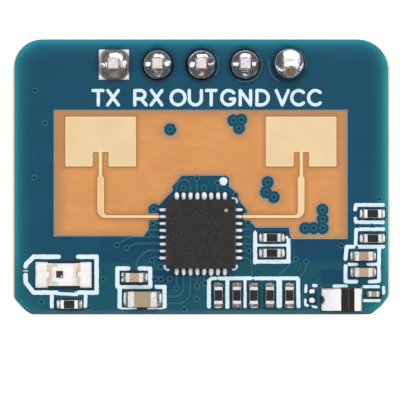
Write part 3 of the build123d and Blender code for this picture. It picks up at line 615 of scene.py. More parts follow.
def rounded_box(lo, hi, r, n=3, step=0.3, disp=None):
    """Closed box with rounded edges; disp(points, normals) may push its skin in or out."""
    lo, hi = np.array(lo, float), np.array(hi, float)
    r = min(r, 0.49 * float((hi - lo).min()))
    axes = []
    for a in range(3):
        c0 = [lo[a] + r - r * math.tan(math.pi / 4 * (n - k) / n) for k in range(n + 1)]
        c1 = [hi[a] - r + r * math.tan(math.pi / 4 * k / n) for k in range(n + 1)]
        m = max(1, int(round((hi[a] - lo[a] - 2 * r) / step)))
        mid = [lo[a] + r + (hi[a] - lo[a] - 2 * r) * k / m for k in range(1, m)]
        axes.append(np.array(c0 + mid + c1))
    index, verts, faces = {}, [], []

    def vid(i, j, k):
        key = (i, j, k)
        if key not in index:
            index[key] = len(verts)
            verts.append((axes[0][i], axes[1][j], axes[2][k]))
        return index[key]

    nx, ny, nz = (len(a) for a in axes)
    for k, flip in ((0, True), (nz - 1, False)):
        for i in range(nx - 1):
            for j in range(ny - 1):
                f = [vid(i, j, k), vid(i + 1, j, k), vid(i + 1, j + 1, k), vid(i, j + 1, k)]
                faces.append(f[::-1] if flip else f)
    for j, flip in ((0, False), (ny - 1, True)):
        for i in range(nx - 1):
            for k in range(nz - 1):
                f = [vid(i, j, k), vid(i + 1, j, k), vid(i + 1, j, k + 1), vid(i, j, k + 1)]
                faces.append(f[::-1] if flip else f)
    for i, flip in ((0, True), (nx - 1, False)):
        for j in range(ny - 1):
            for k in range(nz - 1):
                f = [vid(i, j, k), vid(i, j + 1, k), vid(i, j + 1, k + 1), vid(i, j, k + 1)]
                faces.append(f[::-1] if flip else f)
    p = np.array(verts)
    inner = np.clip(p, lo + r, hi - r)
    d = p - inner
    ln = np.linalg.norm(d, axis=1, keepdims=True)
    ln[ln < 1e-12] = 1
    nrm = d / ln
    p = inner + r * nrm
    if disp is not None:
        p = p + nrm * np.asarray(disp(p, nrm))[:, None]
    return p, faces


def bumps(amp, scale, seed):
    """Uneven skin, at most amp deep, never standing out of the box."""
    def f(p, n):
        s = vnoise(p[:, 0] / scale + 3.1 * p[:, 2], p[:, 1] / scale + 1.7 * p[:, 2], seed)
        s2 = vnoise(p[:, 0] / scale * 2.3 + 9, p[:, 1] / scale * 2.3 + p[:, 2] / scale, seed + 5)
        return amp * (-0.5 + 0.35 * s + 0.15 * s2)
    return f


def turn(p, axis, cx, cy, z, up=1):
    """Takes points of a part lying along x at the origin to its place."""
    p = np.array(p, float)
    if axis == "y":
        p = np.stack([-p[:, 1], p[:, 0], p[:, 2]], 1)
    p[:, 2] = p[:, 2] * up
    return p + np.array([cx, cy, z])


def flipped(faces, up):
    return [f[::-1] for f in faces] if up < 0 else faces


def fillet_shape(length, width, height, seed, n=10, m=12, power=1.9, ragged=0.03):
    """Solder running down from a chip's end, along +x from x = 0. Closed."""
    rng = np.random.RandomState(seed)
    us, vs = np.linspace(0, 1, n + 1), np.linspace(-1, 1, m + 1)
    U, V = np.meshgrid(us, vs, indexing="ij")
    reach = length * (1 - 0.10 * np.abs(V) ** 3 + ragged * vnoise(V * 2.2 + seed, V * 0 + seed, seed) / max(length, 0.05) * 0.6)
    X = U * reach - 0.02 * (U < 1e-6)
    Y = V * width / 2 * (1 - 0.10 * U ** 3)
    H = height * (0.10 + 0.90 * (1 - U) ** power)
    H = H * (1 + 0.16 * vnoise(X * 14 + seed, Y * 12, seed) * (1 - 0.3 * U))
    rim = np.minimum(1, np.minimum((1 - U) * 5.0, (1 - np.abs(V)) * 5.5))
    H = H * np.sqrt(np.clip(rim, 0, 1)) + 0.004
    H = np.minimum(H, height)
    top = np.stack([X, Y, H], -1).reshape(-1, 3)
    bot = np.stack([X, Y, 0 * H], -1).reshape(-1, 3)
    v = np.concatenate([top, bot])
    N, w = len(top), m + 1
    faces = []
    for i in range(n):
        for j in range(m):
            a = i * w + j
            faces.append([a, a + w, a + w + 1, a + 1])
            faces.append([N + a, N + a + 1, N + a + w + 1, N + a + w])
    for j in range(m):
        faces.append([j, j + 1, N + j + 1, N + j])
        a = n * w + j
        faces.append([a + 1, a, N + a, N + a + 1])
    for i in range(n):
        a = i * w
        faces.append([a + w, a, N + a, N + a + w])
        a = i * w + m
        faces.append([a, a + w, N + a + w, N + a])
    return v, faces


def blob(rx, ry, h, seed, px=2.6, rings=8, seg=22, tail=0.0, wob=0.06, flat=2.2):
    """Domed lump on an oblong footprint about the origin. Closed."""
    th = np.linspace(0, 2 * math.pi, seg, endpoint=False)
    c, s = np.cos(th), np.sin(th)
    R = 1.0 / (np.abs(c / rx) ** px + np.abs(s / ry) ** px) ** (1 / px)
    R = R * (1 + wob * vnoise(c * 1.7 + seed, s * 1.7, seed))
    v = [(0.0, 0.0, h)]
    for k in range(1, rings + 1):
        t = math.sin(math.pi / 2 * k / rings)
        z = h * (1 - t ** flat) ** 0.6 if k < rings else 0.0
        for i in range(seg):
            x, y = R[i] * t * c[i], R[i] * t * s[i]
            zz = z * (1 + 0.12 * float(vnoise(x * 9 + seed, y * 9, seed)))
            v.append((x, y, zz * (1 - tail * (x / rx))))
    b = len(v)
    v.append((0.0, 0.0, 0.0))
    f = []
    for i in range(seg):
        j = (i + 1) % seg
        f.append([0, 1 + i, 1 + j])
        for k in range(rings - 1):
            a = 1 + k * seg
            f.append([a + i, a + seg + i, a + seg + j, a + j])
        a = 1 + (rings - 1) * seg
        f.append([b, a + j, a + i])
    v = np.array(v)
    v[:, 2] = np.clip(v[:, 2], 0, h)
    return v, f


def revolve(profile, seg=64, centre=(0, 0), warp=None):
    """Closed ring surface from a closed profile of (radius, z) points."""
    th = np.linspace(0, 2 * math.pi, seg, endpoint=False)
    n = len(profile)
    v = []
    for t in th:
        for r, z in profile:
            v.append((r * math.cos(t), r * math.sin(t), z))
    v = np.array(v)
    if warp is not None:
        v = warp(v)
    v[:, 0] += centre[0]
    v[:, 1] += centre[1]
    f = []
    for i in range(seg):
        j = (i + 1) % seg
        for k in range(n):
            l = (k + 1) % n
            f.append([i * n + k, j * n + k, j * n + l, i * n + l])
    return v, f


# ---- flat shapes as distance fields, turned into closed low-relief meshes ----
class Field:
    def __init__(self, x0, x1, y0, y1, step):
        self.x = np.arange(x0, x1 + step, step)
        self.y = np.arange(y0, y1 + step, step)
        self.step = step
        self.X, self.Y = np.meshgrid(self.x, self.y, indexing="ij")
        self.D = np.full(self.X.shape, 1.0)

    def win(self, x0, x1, y0, y1, pad):
        i0 = max(0, int((x0 - pad - self.x[0]) / self.step))
        i1 = min(len(self.x), int((x1 + pad - self.x[0]) / self.step) + 2)
        j0 = max(0, int((y0 - pad - self.y[0]) / self.step))
        j1 = min(len(self.y), int((y1 + pad - self.y[0]) / self.step) + 2)
        return (slice(i0, i1), slice(j0, j1))

    def _do(self, w, d, how):
        if how == "add":
            self.D[w] = np.minimum(self.D[w], d)
        else:
            self.D[w] = np.maximum(self.D[w], -d)

    def line(self, a, b, r, how="add"):
        w = self.win(min(a[0], b[0]) - r, max(a[0], b[0]) + r, min(a[1], b[1]) - r, max(a[1], b[1]) + r, 0.25)
        X, Y = self.X[w] - a[0], self.Y[w] - a[1]
        bx, by = b[0] - a[0], b[1] - a[1]
        t = np.clip((X * bx + Y * by) / max(bx * bx + by * by, 1e-12), 0, 1)
        self._do(w, np.hypot(X - t * bx, Y - t * by) - r, how)

    def path(self, pts, r, how="add"):
        for a, b in zip(pts[:-1], pts[1:]):
            self.line(a, b, r, how)

    def disc(self, c, r, how="add"):
        w = self.win(c[0] - r, c[0] + r, c[1] - r, c[1] + r, 0.25)
        self._do(w, np.hypot(self.X[w] - c[0], self.Y[w] - c[1]) - r, how)

    def ring(self, c, r, half, how="add"):
        w = self.win(c[0] - r - half, c[0] + r + half, c[1] - r - half, c[1] + r + half, 0.25)
        self._do(w, np.abs(np.hypot(self.X[w] - c[0], self.Y[w] - c[1]) - r) - half, how)

    def rect(self, x0, x1, y0, y1, rad=0.0, how="add"):
        w = self.win(x0, x1, y0, y1, 0.25)
        qx = np.abs(self.X[w] - (x0 + x1) / 2) - (x1 - x0) / 2 + rad
        qy = np.abs(self.Y[w] - (y0 + y1) / 2) - (y1 - y0) / 2 + rad
        d = np.hypot(np.maximum(qx, 0), np.maximum(qy, 0)) + np.minimum(np.maximum(qx, qy), 0) - rad
        self._do(w, d, how)

    def poly(self, pts, how="add"):
        xs, ys = [p[0] for p in pts], [p[1] for p in pts]
        w = self.win(min(xs), max(xs), min(ys), max(ys), 0.25)
        self._do(w, poly_distance(self.X[w], self.Y[w], pts), how)

    def wobble(self, amp, scale, seed):
        self.D = self.D + amp * vnoise(self.X / scale, self.Y / scale, seed)

    def mesh(self, top, z0, extra=None, thin=0.0):
        """Closed mesh: underside flat at z0, upper side at z0 + top(depth). Returns verts, faces and the sampled extras."""
        D, X, Y = self.D, self.X, self.Y
        D = np.where(np.abs(D) < 1e-7, -1e-7, D)
        ins = D < 0
        nx, ny = D.shape
        idx = -np.ones((nx, ny), np.int64)
        ii, jj = np.nonzero(ins)
        n_in = len(ii)
        idx[ii, jj] = np.arange(n_in)
        px, py, pd = X[ii, jj], Y[ii, jj], -D[ii, jj]
        # crossings on the grid's edges
        hx, hy = np.nonzero(ins[:-1, :] != ins[1:, :])
        vx, vy = np.nonzero(ins[:, :-1] != ins[:, 1:])
        t = D[hx, hy] / (D[hx, hy] - D[hx + 1, hy])
        cx1, cy1 = X[hx, hy] + t * self.step, Y[hx, hy]
        t = D[vx, vy] / (D[vx, vy] - D[vx, vy + 1])
        cx2, cy2 = X[vx, vy], Y[vx, vy] + t * self.step
        hid = {(int(a), int(b)): n_in + k for k, (a, b) in enumerate(zip(hx, hy))}
        vid = {(int(a), int(b)): n_in + len(hx) + k for k, (a, b) in enumerate(zip(vx, vy))}
        n_c = len(hx) + len(vx)
        full = ins[:-1, :-1] & ins[1:, :-1] & ins[1:, 1:] & ins[:-1, 1:]
        some = (ins[:-1, :-1] | ins[1:, :-1] | ins[1:, 1:] | ins[:-1, 1:]) & ~full
        fi, fj = np.nonzero(full)
        quads = np.stack([idx[fi, fj], idx[fi + 1, fj], idx[fi + 1, fj + 1], idx[fi, fj + 1]], 1).tolist()
        polys = []
        for i, j in zip(*np.nonzero(some)):
            i, j = int(i), int(j)
            cor = [(i, j), (i + 1, j), (i + 1, j + 1), (i, j + 1)]
            edg = [hid.get((i, j)), vid.get((i + 1, j)), hid.get((i, j + 1)), vid.get((i, j))]
            f = []
            for a in range(4):
                if ins[cor[a]]:
                    f.append(int(idx[cor[a]]))
                if edg[a] is not None:
                    f.append(edg[a])
            if len(f) >= 3:
                polys.append(f)
        x = np.concatenate([px, cx1, cx2])
        y = np.concatenate([py, cy1, cy2])
        d = np.concatenate([pd, np.zeros(n_c)])
        zt = z0 + top(x, y, d)
        up = np.stack([x, y, zt], 1)
        dn = np.stack([px, py, np.full(n_in, z0)], 1)
        up[n_in:, 2] = z0 + thin
        N = n_in + n_c
        faces = quads + polys
        low = []
        for f in faces:
            low.append([(i if i >= n_in else i + N) for i in reversed(f)])
        v = np.concatenate([up, dn])
        ex = {}
        for k, g in (extra or {}).items():
            gv = g(v[:, 0], v[:, 1])
            ex[k] = gv
        return v, faces + low, ex


def poly_distance(X, Y, pts):
    """Signed distance to a closed polygon, negative inside."""
    d = np.full(X.shape, 1e9)
    s = np.ones(X.shape)
    n = len(pts)
    for i in range(n):
        ax, ay = pts[i]
        bx, by = pts[i - 1]
        ex, ey = bx - ax, by - ay
        wx, wy = X - ax, Y - ay
        t = np.clip((wx * ex + wy * ey) / (ex * ex + ey * ey), 0, 1)
        d = np.minimum(d, (wx - ex * t) ** 2 + (wy - ey * t) ** 2)
        c1, c2, c3 = Y >= ay, Y < by, ex * wy > ey * wx
        s = np.where((c1 & c2 & c3) | (~c1 & ~c2 & ~c3), -s, s)
    return s * np.sqrt(d)


def lift(h, edge):
    """Height profile of a printed film: rises from its edge to h."""
    return lambda x, y, d: h * np.sqrt(np.clip(d / edge, 0, 1) * (2 - np.clip(d / edge, 0, 1)))


def film(name, field, mats, slot, h, edge, z0, sharp=60.0, extra=None, top=None):
    v, f, ex = field.mesh(top or lift(h, edge), z0, extra)
    return Shell().add(v, f).build(name, mats, slot, sharp=sharp, attrs=ex)


# ================= camera, lights, floor =================
scene = bpy.context.scene
cam_data = bpy.data.cameras.new("camera")
cam_data.lens, cam_data.sensor_width = 200.0, 36.0
cam_data.clip_start, cam_data.clip_end = 0.001, 10.0
cam = bpy.data.objects.new("camera", cam_data)
cam.location = (-0.0785 * MM, -7.872 * MM, 132.94 * MM)
cam.rotation_euler = (0.0, 0.0, 0.0)
scene.collection.objects.link(cam)
scene.camera = cam
scene.view_settings.view_transform = "Standard"
scene.view_settings.look = "None"


def softbox(name, at, target, sx, sy, radiance, colour=(1, 1, 1)):
    d = bpy.data.lights.new(name, "AREA")
    d.shape = "RECTANGLE"
    d.size, d.size_y = sx, sy
    d.energy = radiance * math.pi * sx * sy
    d.color = colour
    o = bpy.data.objects.new(name, d)
    o.location = at
    o.rotation_euler = (Vector(at) - Vector(target)).to_track_quat("Z", "Y").to_euler()
    scene.collection.objects.link(o)
    return o


mid = (0.0, -0.0065, 0.0037)
softbox("key", (0.012, 0.2085, 0.305), mid, 0.30, 0.277, 2.4)
softbox("left", (-0.268, 0.034, 0.212), mid, 0.05, 0.27, 3.0, (0.96, 0.98, 1.0))
softbox("right", (0.276, 0.040, 0.194), mid, 0.13, 0.33, 1.7)
softbox("low", (0.01, -0.235, 0.215), mid, 0.15, 0.07, 2.6, (1.0, 0.93, 0.86))
fill = softbox("fill", (0.0, -0.085, 0.33), mid, 0.26, 0.26, 2.35)
fill.visible_glossy = False     # a large dim fill: it lifts the matt parts, and the solder doesn't mirror it

world = bpy.data.worlds.new("studio")
scene.world = world
world.use_nodes = True
wt = world.node_tree
wt.nodes.clear()
wo = wt.nodes.new("ShaderNodeOutputWorld")
wb = wt.nodes.new("ShaderNodeBackground")
wc = wt.nodes.new("ShaderNodeTexCoord")
ws = wt.nodes.new("ShaderNodeSeparateXYZ")
wr = wt.nodes.new("ShaderNodeValToRGB")
wt.links.new(wc.outputs["Generated"], ws.inputs[0])
wt.links.new(ws.outputs[2], wr.inputs[0])
wt.links.new(wr.outputs[0], wb.inputs[0])
wt.links.new(wb.outputs[0], wo.inputs[0])
el = wr.color_ramp.elements
el[0].position, el[0].color = 0.0, (0.86, 0.87, 0.88, 1)
el[1].position, el[1].color = 1.0, (0.14, 0.14, 0.15, 1)
e = el.new(0.065)
e.color = (0.84, 0.85, 0.86, 1)
e = el.new(0.13)
e.color = (0.17, 0.17, 0.18, 1)
wb.inputs[1].default_value = 1.0

floor_me = bpy.data.meshes.new("floor")
fs, fz = 1.6, -6.0 * MM - 0.00005
floor_me.from_pydata([(-fs, -fs, fz), (fs, -fs, fz), (fs, fs, fz), (-fs, fs, fz)], [], [[0, 1, 2, 3]])
floor = bpy.data.objects.new("floor", floor_me)
scene.collection.objects.link(floor)
F = Mat("studio_floor")
fn = F.noise(0.02, 2.0)
F.set(color=F.mix(F.map(fn, 0.3, 0.7), (0.30, 0.30, 0.30, 1), (0.32, 0.32, 0.32, 1)), rough=0.9, spec=0.0,
      emit=(1, 1, 1, 1), emit_s=1.0)
floor_me.materials.append(F.m)

# ================= carried-over parts =================
dress("circuit_board", lam_edge_mat)
dress("solder_mask_front", mask_mat)
dress("solder_mask_back", mask_mat)
dress("antenna_left", patch_mat)
dress("antenna_right", patch_mat)
dress("header_lands", land_mat)
dress("front_lands", land_dark_mat)
dress("back_lands", land_mat)
dress("header_housing", housing_mat)
for i in range(1, 6):
    dress(f"header_pin_{i}", pin_mat)
dress("radar_chip_leadframe", lead_mat)
dress("microcontroller", mcu_mat)
dress("microcontroller_leadframe", lead_mat)
dress("crystal_base", crystal_mat)
dress("crystal_lid", crystal_lid_mat)
dress("regulator", mcu_mat)
dress("regulator_leads", lead_mat)
dress("back_solder", fillet_mat)

# ================= bare laminate in the antenna window =================
PATCHES = []
LINE0, LINE1, FEED_H, WIDE_H = -8.9175, -8.7625, 0.085, 0.185


def bend(cx, cy, r, a0, a1, n=8):
    return [(cx + r * math.cos(math.radians(a0 + (a1 - a0) * i / n)), cy + r * math.sin(math.radians(a0 + (a1 - a0) * i / n)))
            for i in range(n + 1)]


for fx, s in FEED:
    a = [
        (WIDE_H, -6.59), (FEED_H, -6.48), (FEED_H, -5.08), (0.465, -5.08), (0.465, -5.92), (2.045, -5.92),
        (2.045, -3.04), (-2.045, -3.04), (-2.045, -5.92), (-0.465, -5.92), (-0.465, -5.08), (-FEED_H, -5.08),
        (-FEED_H, -6.48), (-WIDE_H, -6.59),
    ]
    a += bend(-WIDE_H + 0.50, LINE0 + 0.50, 0.50, 180, 270)
    a = [(fx + s * x, y) for x, y in a]
    end = -2.45 if s > 0 else 2.39
    a += [(end, LINE0), (end, LINE1)]
    a += [(fx + s * x, y) for x, y in bend(WIDE_H + 0.20, LINE1 + 0.20, 0.20, 270, 180)]
    PATCHES.append(a)


def window_distance(X, Y):
    d = -poly_distance(X, Y, OPENING)
    for c in ISLAND_VIAS:
        d = np.minimum(d, np.hypot(X - c[0], Y - c[1]) - ISLAND_R)
    return d


def patch_distance(X, Y):
    return np.minimum(poly_distance(X, Y, PATCHES[0]), poly_distance(X, Y, PATCHES[1]))


fl = Field(-8.7, 8.6, -10.25, -2.5, 0.06)
fl.poly(OPENING)
for c in ISLAND_VIAS:
    fl.disc(c, ISLAND_R, "cut")
fl.D = np.maximum(fl.D, -(patch_distance(fl.X, fl.Y) - 0.002))
fl.D = np.maximum(fl.D, -(np.maximum(np.abs(fl.X - CHIP_X), np.abs(fl.Y - CHIP_Y)) - CHIP / 2))
film("laminate_face", fl, [lam_face_mat], "laminate", 0.003, 0.02, Z_LAM1 - 0.001,
     extra={"edge": window_distance, "patch": patch_distance})

# bright edge of the antenna copper: a low bead, paler than the copper as a painted highlight
fr = Field(-8.1, 8.0, -9.1, -2.9, 0.028)
pd_ = patch_distance(fr.X, fr.Y)
fr.D = np.abs(pd_ + 0.032) - 0.024
thin = np.minimum(np.abs(fr.X - FEED[0][0]), np.abs(fr.X - FEED[1][0]))
fr.D = np.where((fr.Y < -5.0) & (fr.Y > -6.44) & (thin < 0.12), pd_ + 0.02, fr.D)
fr.D = np.where((fr.Y < -8.70) & (thin > 0.36), pd_ + 0.02, fr.D)
film("antenna_edge_highlights", fr, [patch_edge_highlight_mat], "antenna_copper", 0.006, 0.02, Z_FRONT - 0.001)

# ================= relief under the mask: tracks, gaps, via rings =================
TRACKS = [
    ([(176.4, 192), (176.4, 188), (177.4, 184), (180, 180.6), (183.7, 179.4), (187.4, 180.6), (189.6, 184), (190.4, 188), (190.4, 192)], 2.6),
    ([(196.9, 178.4), (197.0, 192)], 2.6),
    ([(183.7, 188.2), (183.7, 192)], 2.8),
    ([(203.8, 188), (203.9, 192)], 3.0),
    ([(217.6, 183), (217.8, 192)], 2.8),
    ([(160, 236.8), (134, 236.8), (127, 238.6), (117, 245)], 2.6),
    ([(160, 243.6), (139, 243.6), (133, 245), (126.6, 247.9)], 2.6),
    ([(160, 250.6), (149, 250.6), (144, 252.4), (138.6, 258.6), (136.6, 263), (136.4, 269)], 3.4),
    ([(160, 257.4), (153, 257.6), (148.4, 261), (147, 268)], 2.2),
    ([(176.4, 277), (176.3, 288.3)], 3.0),
    ([(183.4, 277), (183.4, 289), (181.8, 293), (178, 296.2), (168, 296.6)], 2.6),
    ([(190.2, 277), (190.2, 293), (188.6, 297.4), (184, 302), (180, 303.4), (168, 303.6)], 2.6),
    ([(197.2, 277), (196.9, 286.1)], 3.0),
    ([(204, 277), (204.4, 283.4)], 2.4),
    ([(243, 257.6), (248, 258.6), (251, 261.6), (252, 266), (252, 276)], 2.4),
    ([(255.6, 262), (255.8, 276)], 1.8),
    ([(295.8, 259.3), (278, 276)], 3.0),
    ([(291, 257), (286, 262.6)], 1.6),
    ([(306.3, 261.7), (306.0, 268), (304.4, 272.4), (300, 277)], 2.8),
    ([(300.2, 262), (300.2, 267), (297, 272)], 1.6),
    ([(243, 243.8), (250, 244)], 2.6), ([(243, 250.8), (248, 251)], 2.6), ([(243, 236.8), (250, 236.8)], 2.6),
    ([(243, 229.8), (249, 229)], 2.4), ([(160, 229.8), (153, 230)], 2.4), ([(160, 222.8), (153, 223.4)], 2.4),
    ([(160, 209), (153.5, 209)], 2.6),
]
GAPS = [([(97.5, 261.4), (134, 261.4)], 1.3), ([(311.5, 261.6), (343, 261.6)], 1.4), ([(324, 269.8), (343, 269.8)], 1.2),
        ([(323.6, 270), (311.6, 281)], 1.4), ([(152, 273.4), (174, 273.4)], 2.6), ([(256, 264.4), (256, 264.5)], 1.0)]
ft = Field(-5.5, 9.0, -14.2, -6.4, 0.035)
for pts, w in TRACKS:
    ft.path([q(*p) for p in pts], w / 2 / PX)
keepout = 0.02
ft.D = np.maximum(ft.D, -(np.maximum(np.abs(ft.X - CHIP_X), np.abs(ft.Y - CHIP_Y)) - CHIP / 2 - keepout))
ft.D = np.maximum(ft.D, -poly_distance(ft.X, ft.Y, OPENING))
for v in VIAS:
    ft.disc(v, VIA_R + 0.02, "cut")
film("tracks_under_mask", ft, [trace_mat], "solder_mask", 0.012, 0.05, Z_FRONT - 0.001)

fg = Field(-6.6, 9.2, -14.3, -6.3, 0.035)
for pts, w in TRACKS:
    fg.path([q(*p) for p in pts], (w / 2 + 1.25) / PX)
for pts, w in GAPS:
    fg.path([q(*p) for p in pts], w / 2 / PX)
fg.D = np.maximum(fg.D, -(np.maximum(np.abs(fg.X - CHIP_X), np.abs(fg.Y - CHIP_Y)) - CHIP / 2 - keepout))
fg.D = np.maximum(fg.D, -poly_distance(fg.X, fg.Y, OPENING))
for v in VIAS:
    fg.disc(v, VIA_R + 0.02, "cut")
film("gaps_under_mask", fg, [gap_mat], "solder_mask", 0.003, 0.02, Z_FRONT - 0.001)

rings = Shell()
for k, (x, y) in enumerate(VIAS + ISLAND_VIAS):
    r0, r1 = VIA_R - 0.026, VIA_R + 0.090
    prof = [(r0, Z_FRONT - 0.002), (r0, Z_FRONT + 0.008), (r0 + 0.012, Z_FRONT + 0.014), (0.5 * (r0 + r1), Z_FRONT + 0.017),
            (r1 - 0.012, Z_FRONT + 0.012), (r1, Z_FRONT - 0.002)]
    v, f = revolve(prof[::-1], 28, (x, y))
    rings.add(v, f)
rings.build("via_rings", [ring_mat], "solder_mask", sharp=60)

barrels = Shell()
for k, (x, y) in enumerate(VIAS + ISLAND_VIAS):
    a, b = VIA_R - 0.001, VIA_R - 0.014
    prof = [(a, Z_BACK + 0.02), (a, Z_FRONT + 0.004), (b, Z_FRONT + 0.004), (b, Z_BACK + 0.02)]
    v, f = revolve(prof, 20, (x, y))
    barrels.add(v, f, 0)
    v, f = blob(VIA_R - 0.002, VIA_R - 0.002, 0.30, k, px=2.0, rings=4, seg=20, wob=0.0)
    v = v * np.array([1, 1, 0.3]) + np.array([x, y, Z_FRONT - 0.12])
    barrels.add(v, f, 1)
barrels.build("via_barrels", [barrel_mat, plug_mat], "land_metal", sharp=50)

# ================= marking ink =================
S = 3.35 / 2 / PX


def arc(cx, cy, rx, ry, a0, a1, n=18):
    return [(cx + rx * math.cos(math.radians(a0 + (a1 - a0) * i / n)),
             cy - ry * math.sin(math.radians(a0 + (a1 - a0) * i / n))) for i in range(n + 1)]


T_, B_ = 90.5, 104.9
LABELS = [
    [(92.9, T_), (103.1, T_)], [(98.3, T_), (98.3, B_)],
    [(107.8, T_), (118.3, B_)], [(118.3, T_), (107.6, B_)],
    [(134.8, B_), (134.8, T_), (140.6, T_)] , arc(140.6, 94.7, 4.4, 4.2, 90, -90, 12), [(140.6, 98.9), (134.8, 98.9)],
    [(140.9, 98.9), (146.2, B_)],
    [(151.3, T_), (161.8, B_)], [(161.9, T_), (151.1, B_)],
    arc(178.0, 97.7, 6.95, 7.2, 0, 360, 32),
    [(189.3, T_), (189.3, 99.2)], arc(195.3, 99.2, 6.0, 5.7, 180, 360, 16), [(201.3, 99.2), (201.3, T_)],
    [(206.4, T_), (216.0, T_)], [(211.2, T_), (211.2, B_)],
    arc(228.6, 97.7, 6.9, 7.2, 42, 322, 26), [(234.1, 102.1), (234.5, 98.9), (230.4, 98.9)],
    [(240.2, B_), (240.2, T_), (250.6, B_), (250.6, T_)],
    [(256.9, B_), (256.9, T_), (261.0, T_)], arc(261.0, 97.7, 7.3, 7.2, 90, -90, 18), [(261.0, B_), (256.9, B_)],
    [(276.3, T_), (282.3, B_), (288.3, T_)],
    arc(298.6, 97.7, 6.9, 7.2, 46, 314, 26),
    arc(315.4, 97.7, 6.9, 7.2, 46, 314, 26),
]
fi = Field(-6.6, 7.3, -2.55, -1.3, 0.026)
for pts in LABELS:
    fi.path([q(*p) for p in pts], S)
fi.wobble(0.006, 0.10, 3)
film("pin_labels", fi, [silk_mat], "solder_mask", 0.020, 0.05, Z_FRONT - 0.001)

# outlines round the parts: points of the reference view and stroke width, in pixels
OUTLINES = [
    ([(58.6, 256.8), (33.8, 256.8), (26.6, 263.6), (25.6, 266.4)], 4.2),
    ([(25.5, 275.0), (25.6, 282.6), (33.8, 292.6), (56.5, 292.6)], 4.1),
    ([(56.5, 293.6), (77, 294.6)], 2.9), ([(23.4, 270.9), (27.6, 270.9)], 0.5),
    ([(77, 292.6), (96.6, 292.6), (96.6, 256.8), (78.3, 256.8)], 4.1),
    ([(51.9, 293.6), (51.7, 306.6)], 3.4), ([(85.6, 293.6), (85.4, 306.4)], 3.2),
    ([(128.2, 268.5), (117.4, 268.5), (117.4, 286.4)], 4.0),
    ([(139.4, 268.5), (150.2, 268.5), (150.4, 286.6)], 3.9),
    ([(117.6, 287.0), (149.6, 287.0)], 3.4), ([(119.7, 287.0), (119.6, 306.6)], 4.0),
    ([(156.6, 286.9), (164.6, 286.9), (164.6, 306.6)], 3.8),
    ([(121, 308.4), (136, 308.4)], 1.4), ([(148, 308.4), (163, 308.4)], 1.4),
    ([(208.6, 281.2), (211.6, 278.4), (215.6, 278.3)], 3.2), ([(219.4, 278.4), (251.2, 278.3)], 3.5),
    ([(255.2, 278.4), (297.6, 278.3)], 3.5),
    ([(208.9, 281.0), (208.9, 306.6)], 3.6), ([(227.3, 280), (227.3, 306.8)], 3.7), ([(245.0, 280), (245.0, 306.6)], 2.8),
    ([(279.2, 280), (279.2, 305.4)], 5.2), ([(298.0, 279), (298.5, 306.2)], 3.7),
    ([(255.1, 233.6), (255.1, 262.4)], 3.8), ([(255.1, 231.4), (255.1, 232.0)], 1.6),
    ([(288.4, 240.4), (288.6, 261.6)], 3.8), ([(286.4, 237.0), (288.4, 240.4)], 2.4),
    ([(255.1, 261.6), (288.6, 261.6)], 3.8), ([(257, 245.2), (286.4, 245.2)], 2.2),
    ([(383.0, 204.9), (356.0, 204.9), (355.2, 209.6)], 3.4),
    ([(355.2, 218.4), (355.9, 222.2), (383.2, 222.3)], 3.3),
    ([(383.2, 229.2), (356.2, 229.2), (355.5, 245.6)], 3.3),
    ([(383.0, 246.7), (346.6, 246.8), (345.5, 258.6)], 3.7),
    ([(345.5, 266.0), (345.5, 281.6), (356.4, 281.7)], 3.6),
    ([(379.0, 248.0), (379.0, 281.0), (369.6, 281.7)], 3.5),
    ([(348.6, 264.4), (356.8, 264.4)], 2.8), ([(368.0, 264.4), (378.4, 264.4)], 2.8),
    ([(313.6, 285.6), (316.2, 285.6)], 2.9), ([(306.0, 285.6), (305.8, 291.6)], 2.6),
    ([(305.2, 299.6), (305.6, 305.0), (308.0, 305.8)], 2.2), ([(311.8, 306.4), (316.4, 307.2)], 2.2),
    ([(334.2, 286.1), (346.4, 286.1)], 2.9),
    ([(364.0, 286.7), (378.6, 286.7)], 2.8), ([(364.2, 300.6), (379.2, 300.6)], 2.7), ([(383.6, 287.4), (383.6, 293.2)], 2.8),
    ([(223.3, 181.2), (223.3, 181.25)], 7.8),
    ([(164.8, 266.2), (165.6, 268.2), (168.2, 269.6)], 2.6),
    ([(236.6, 265.8), (235.8, 268.0), (233.4, 269.2)], 2.6),
    ([(233.0, 198.2), (236.2, 199.4), (236.6, 202.0)], 2.2),
]
INK_HOLES = [((356.6, 247.6), 1.5), ((310.0, 307.6), 1.3), ((76.6, 291.6), 0.7), ((347.4, 264.3), 0.9), ((353.0, 213.6), 1.0)]
fo = Field(-10.5, 11.0, -14.35, -6.5, 0.034)
for pts, w in OUTLINES:
    fo.path([q(*p) for p in pts], (w / 2 + 0.18) / PX)
for c, r in INK_HOLES:
    fo.disc(q(*c), r / PX, "cut")
fo.D = np.maximum(fo.D, -(np.maximum(np.abs(fo.X - CHIP_X), np.abs(fo.Y - CHIP_Y)) - CHIP / 2 - 0.01))
fo.wobble(0.011, 0.13, 9)
film("part_outlines", fo, [silk_mat], "solder_mask", 0.020, 0.05, Z_FRONT - 0.001)
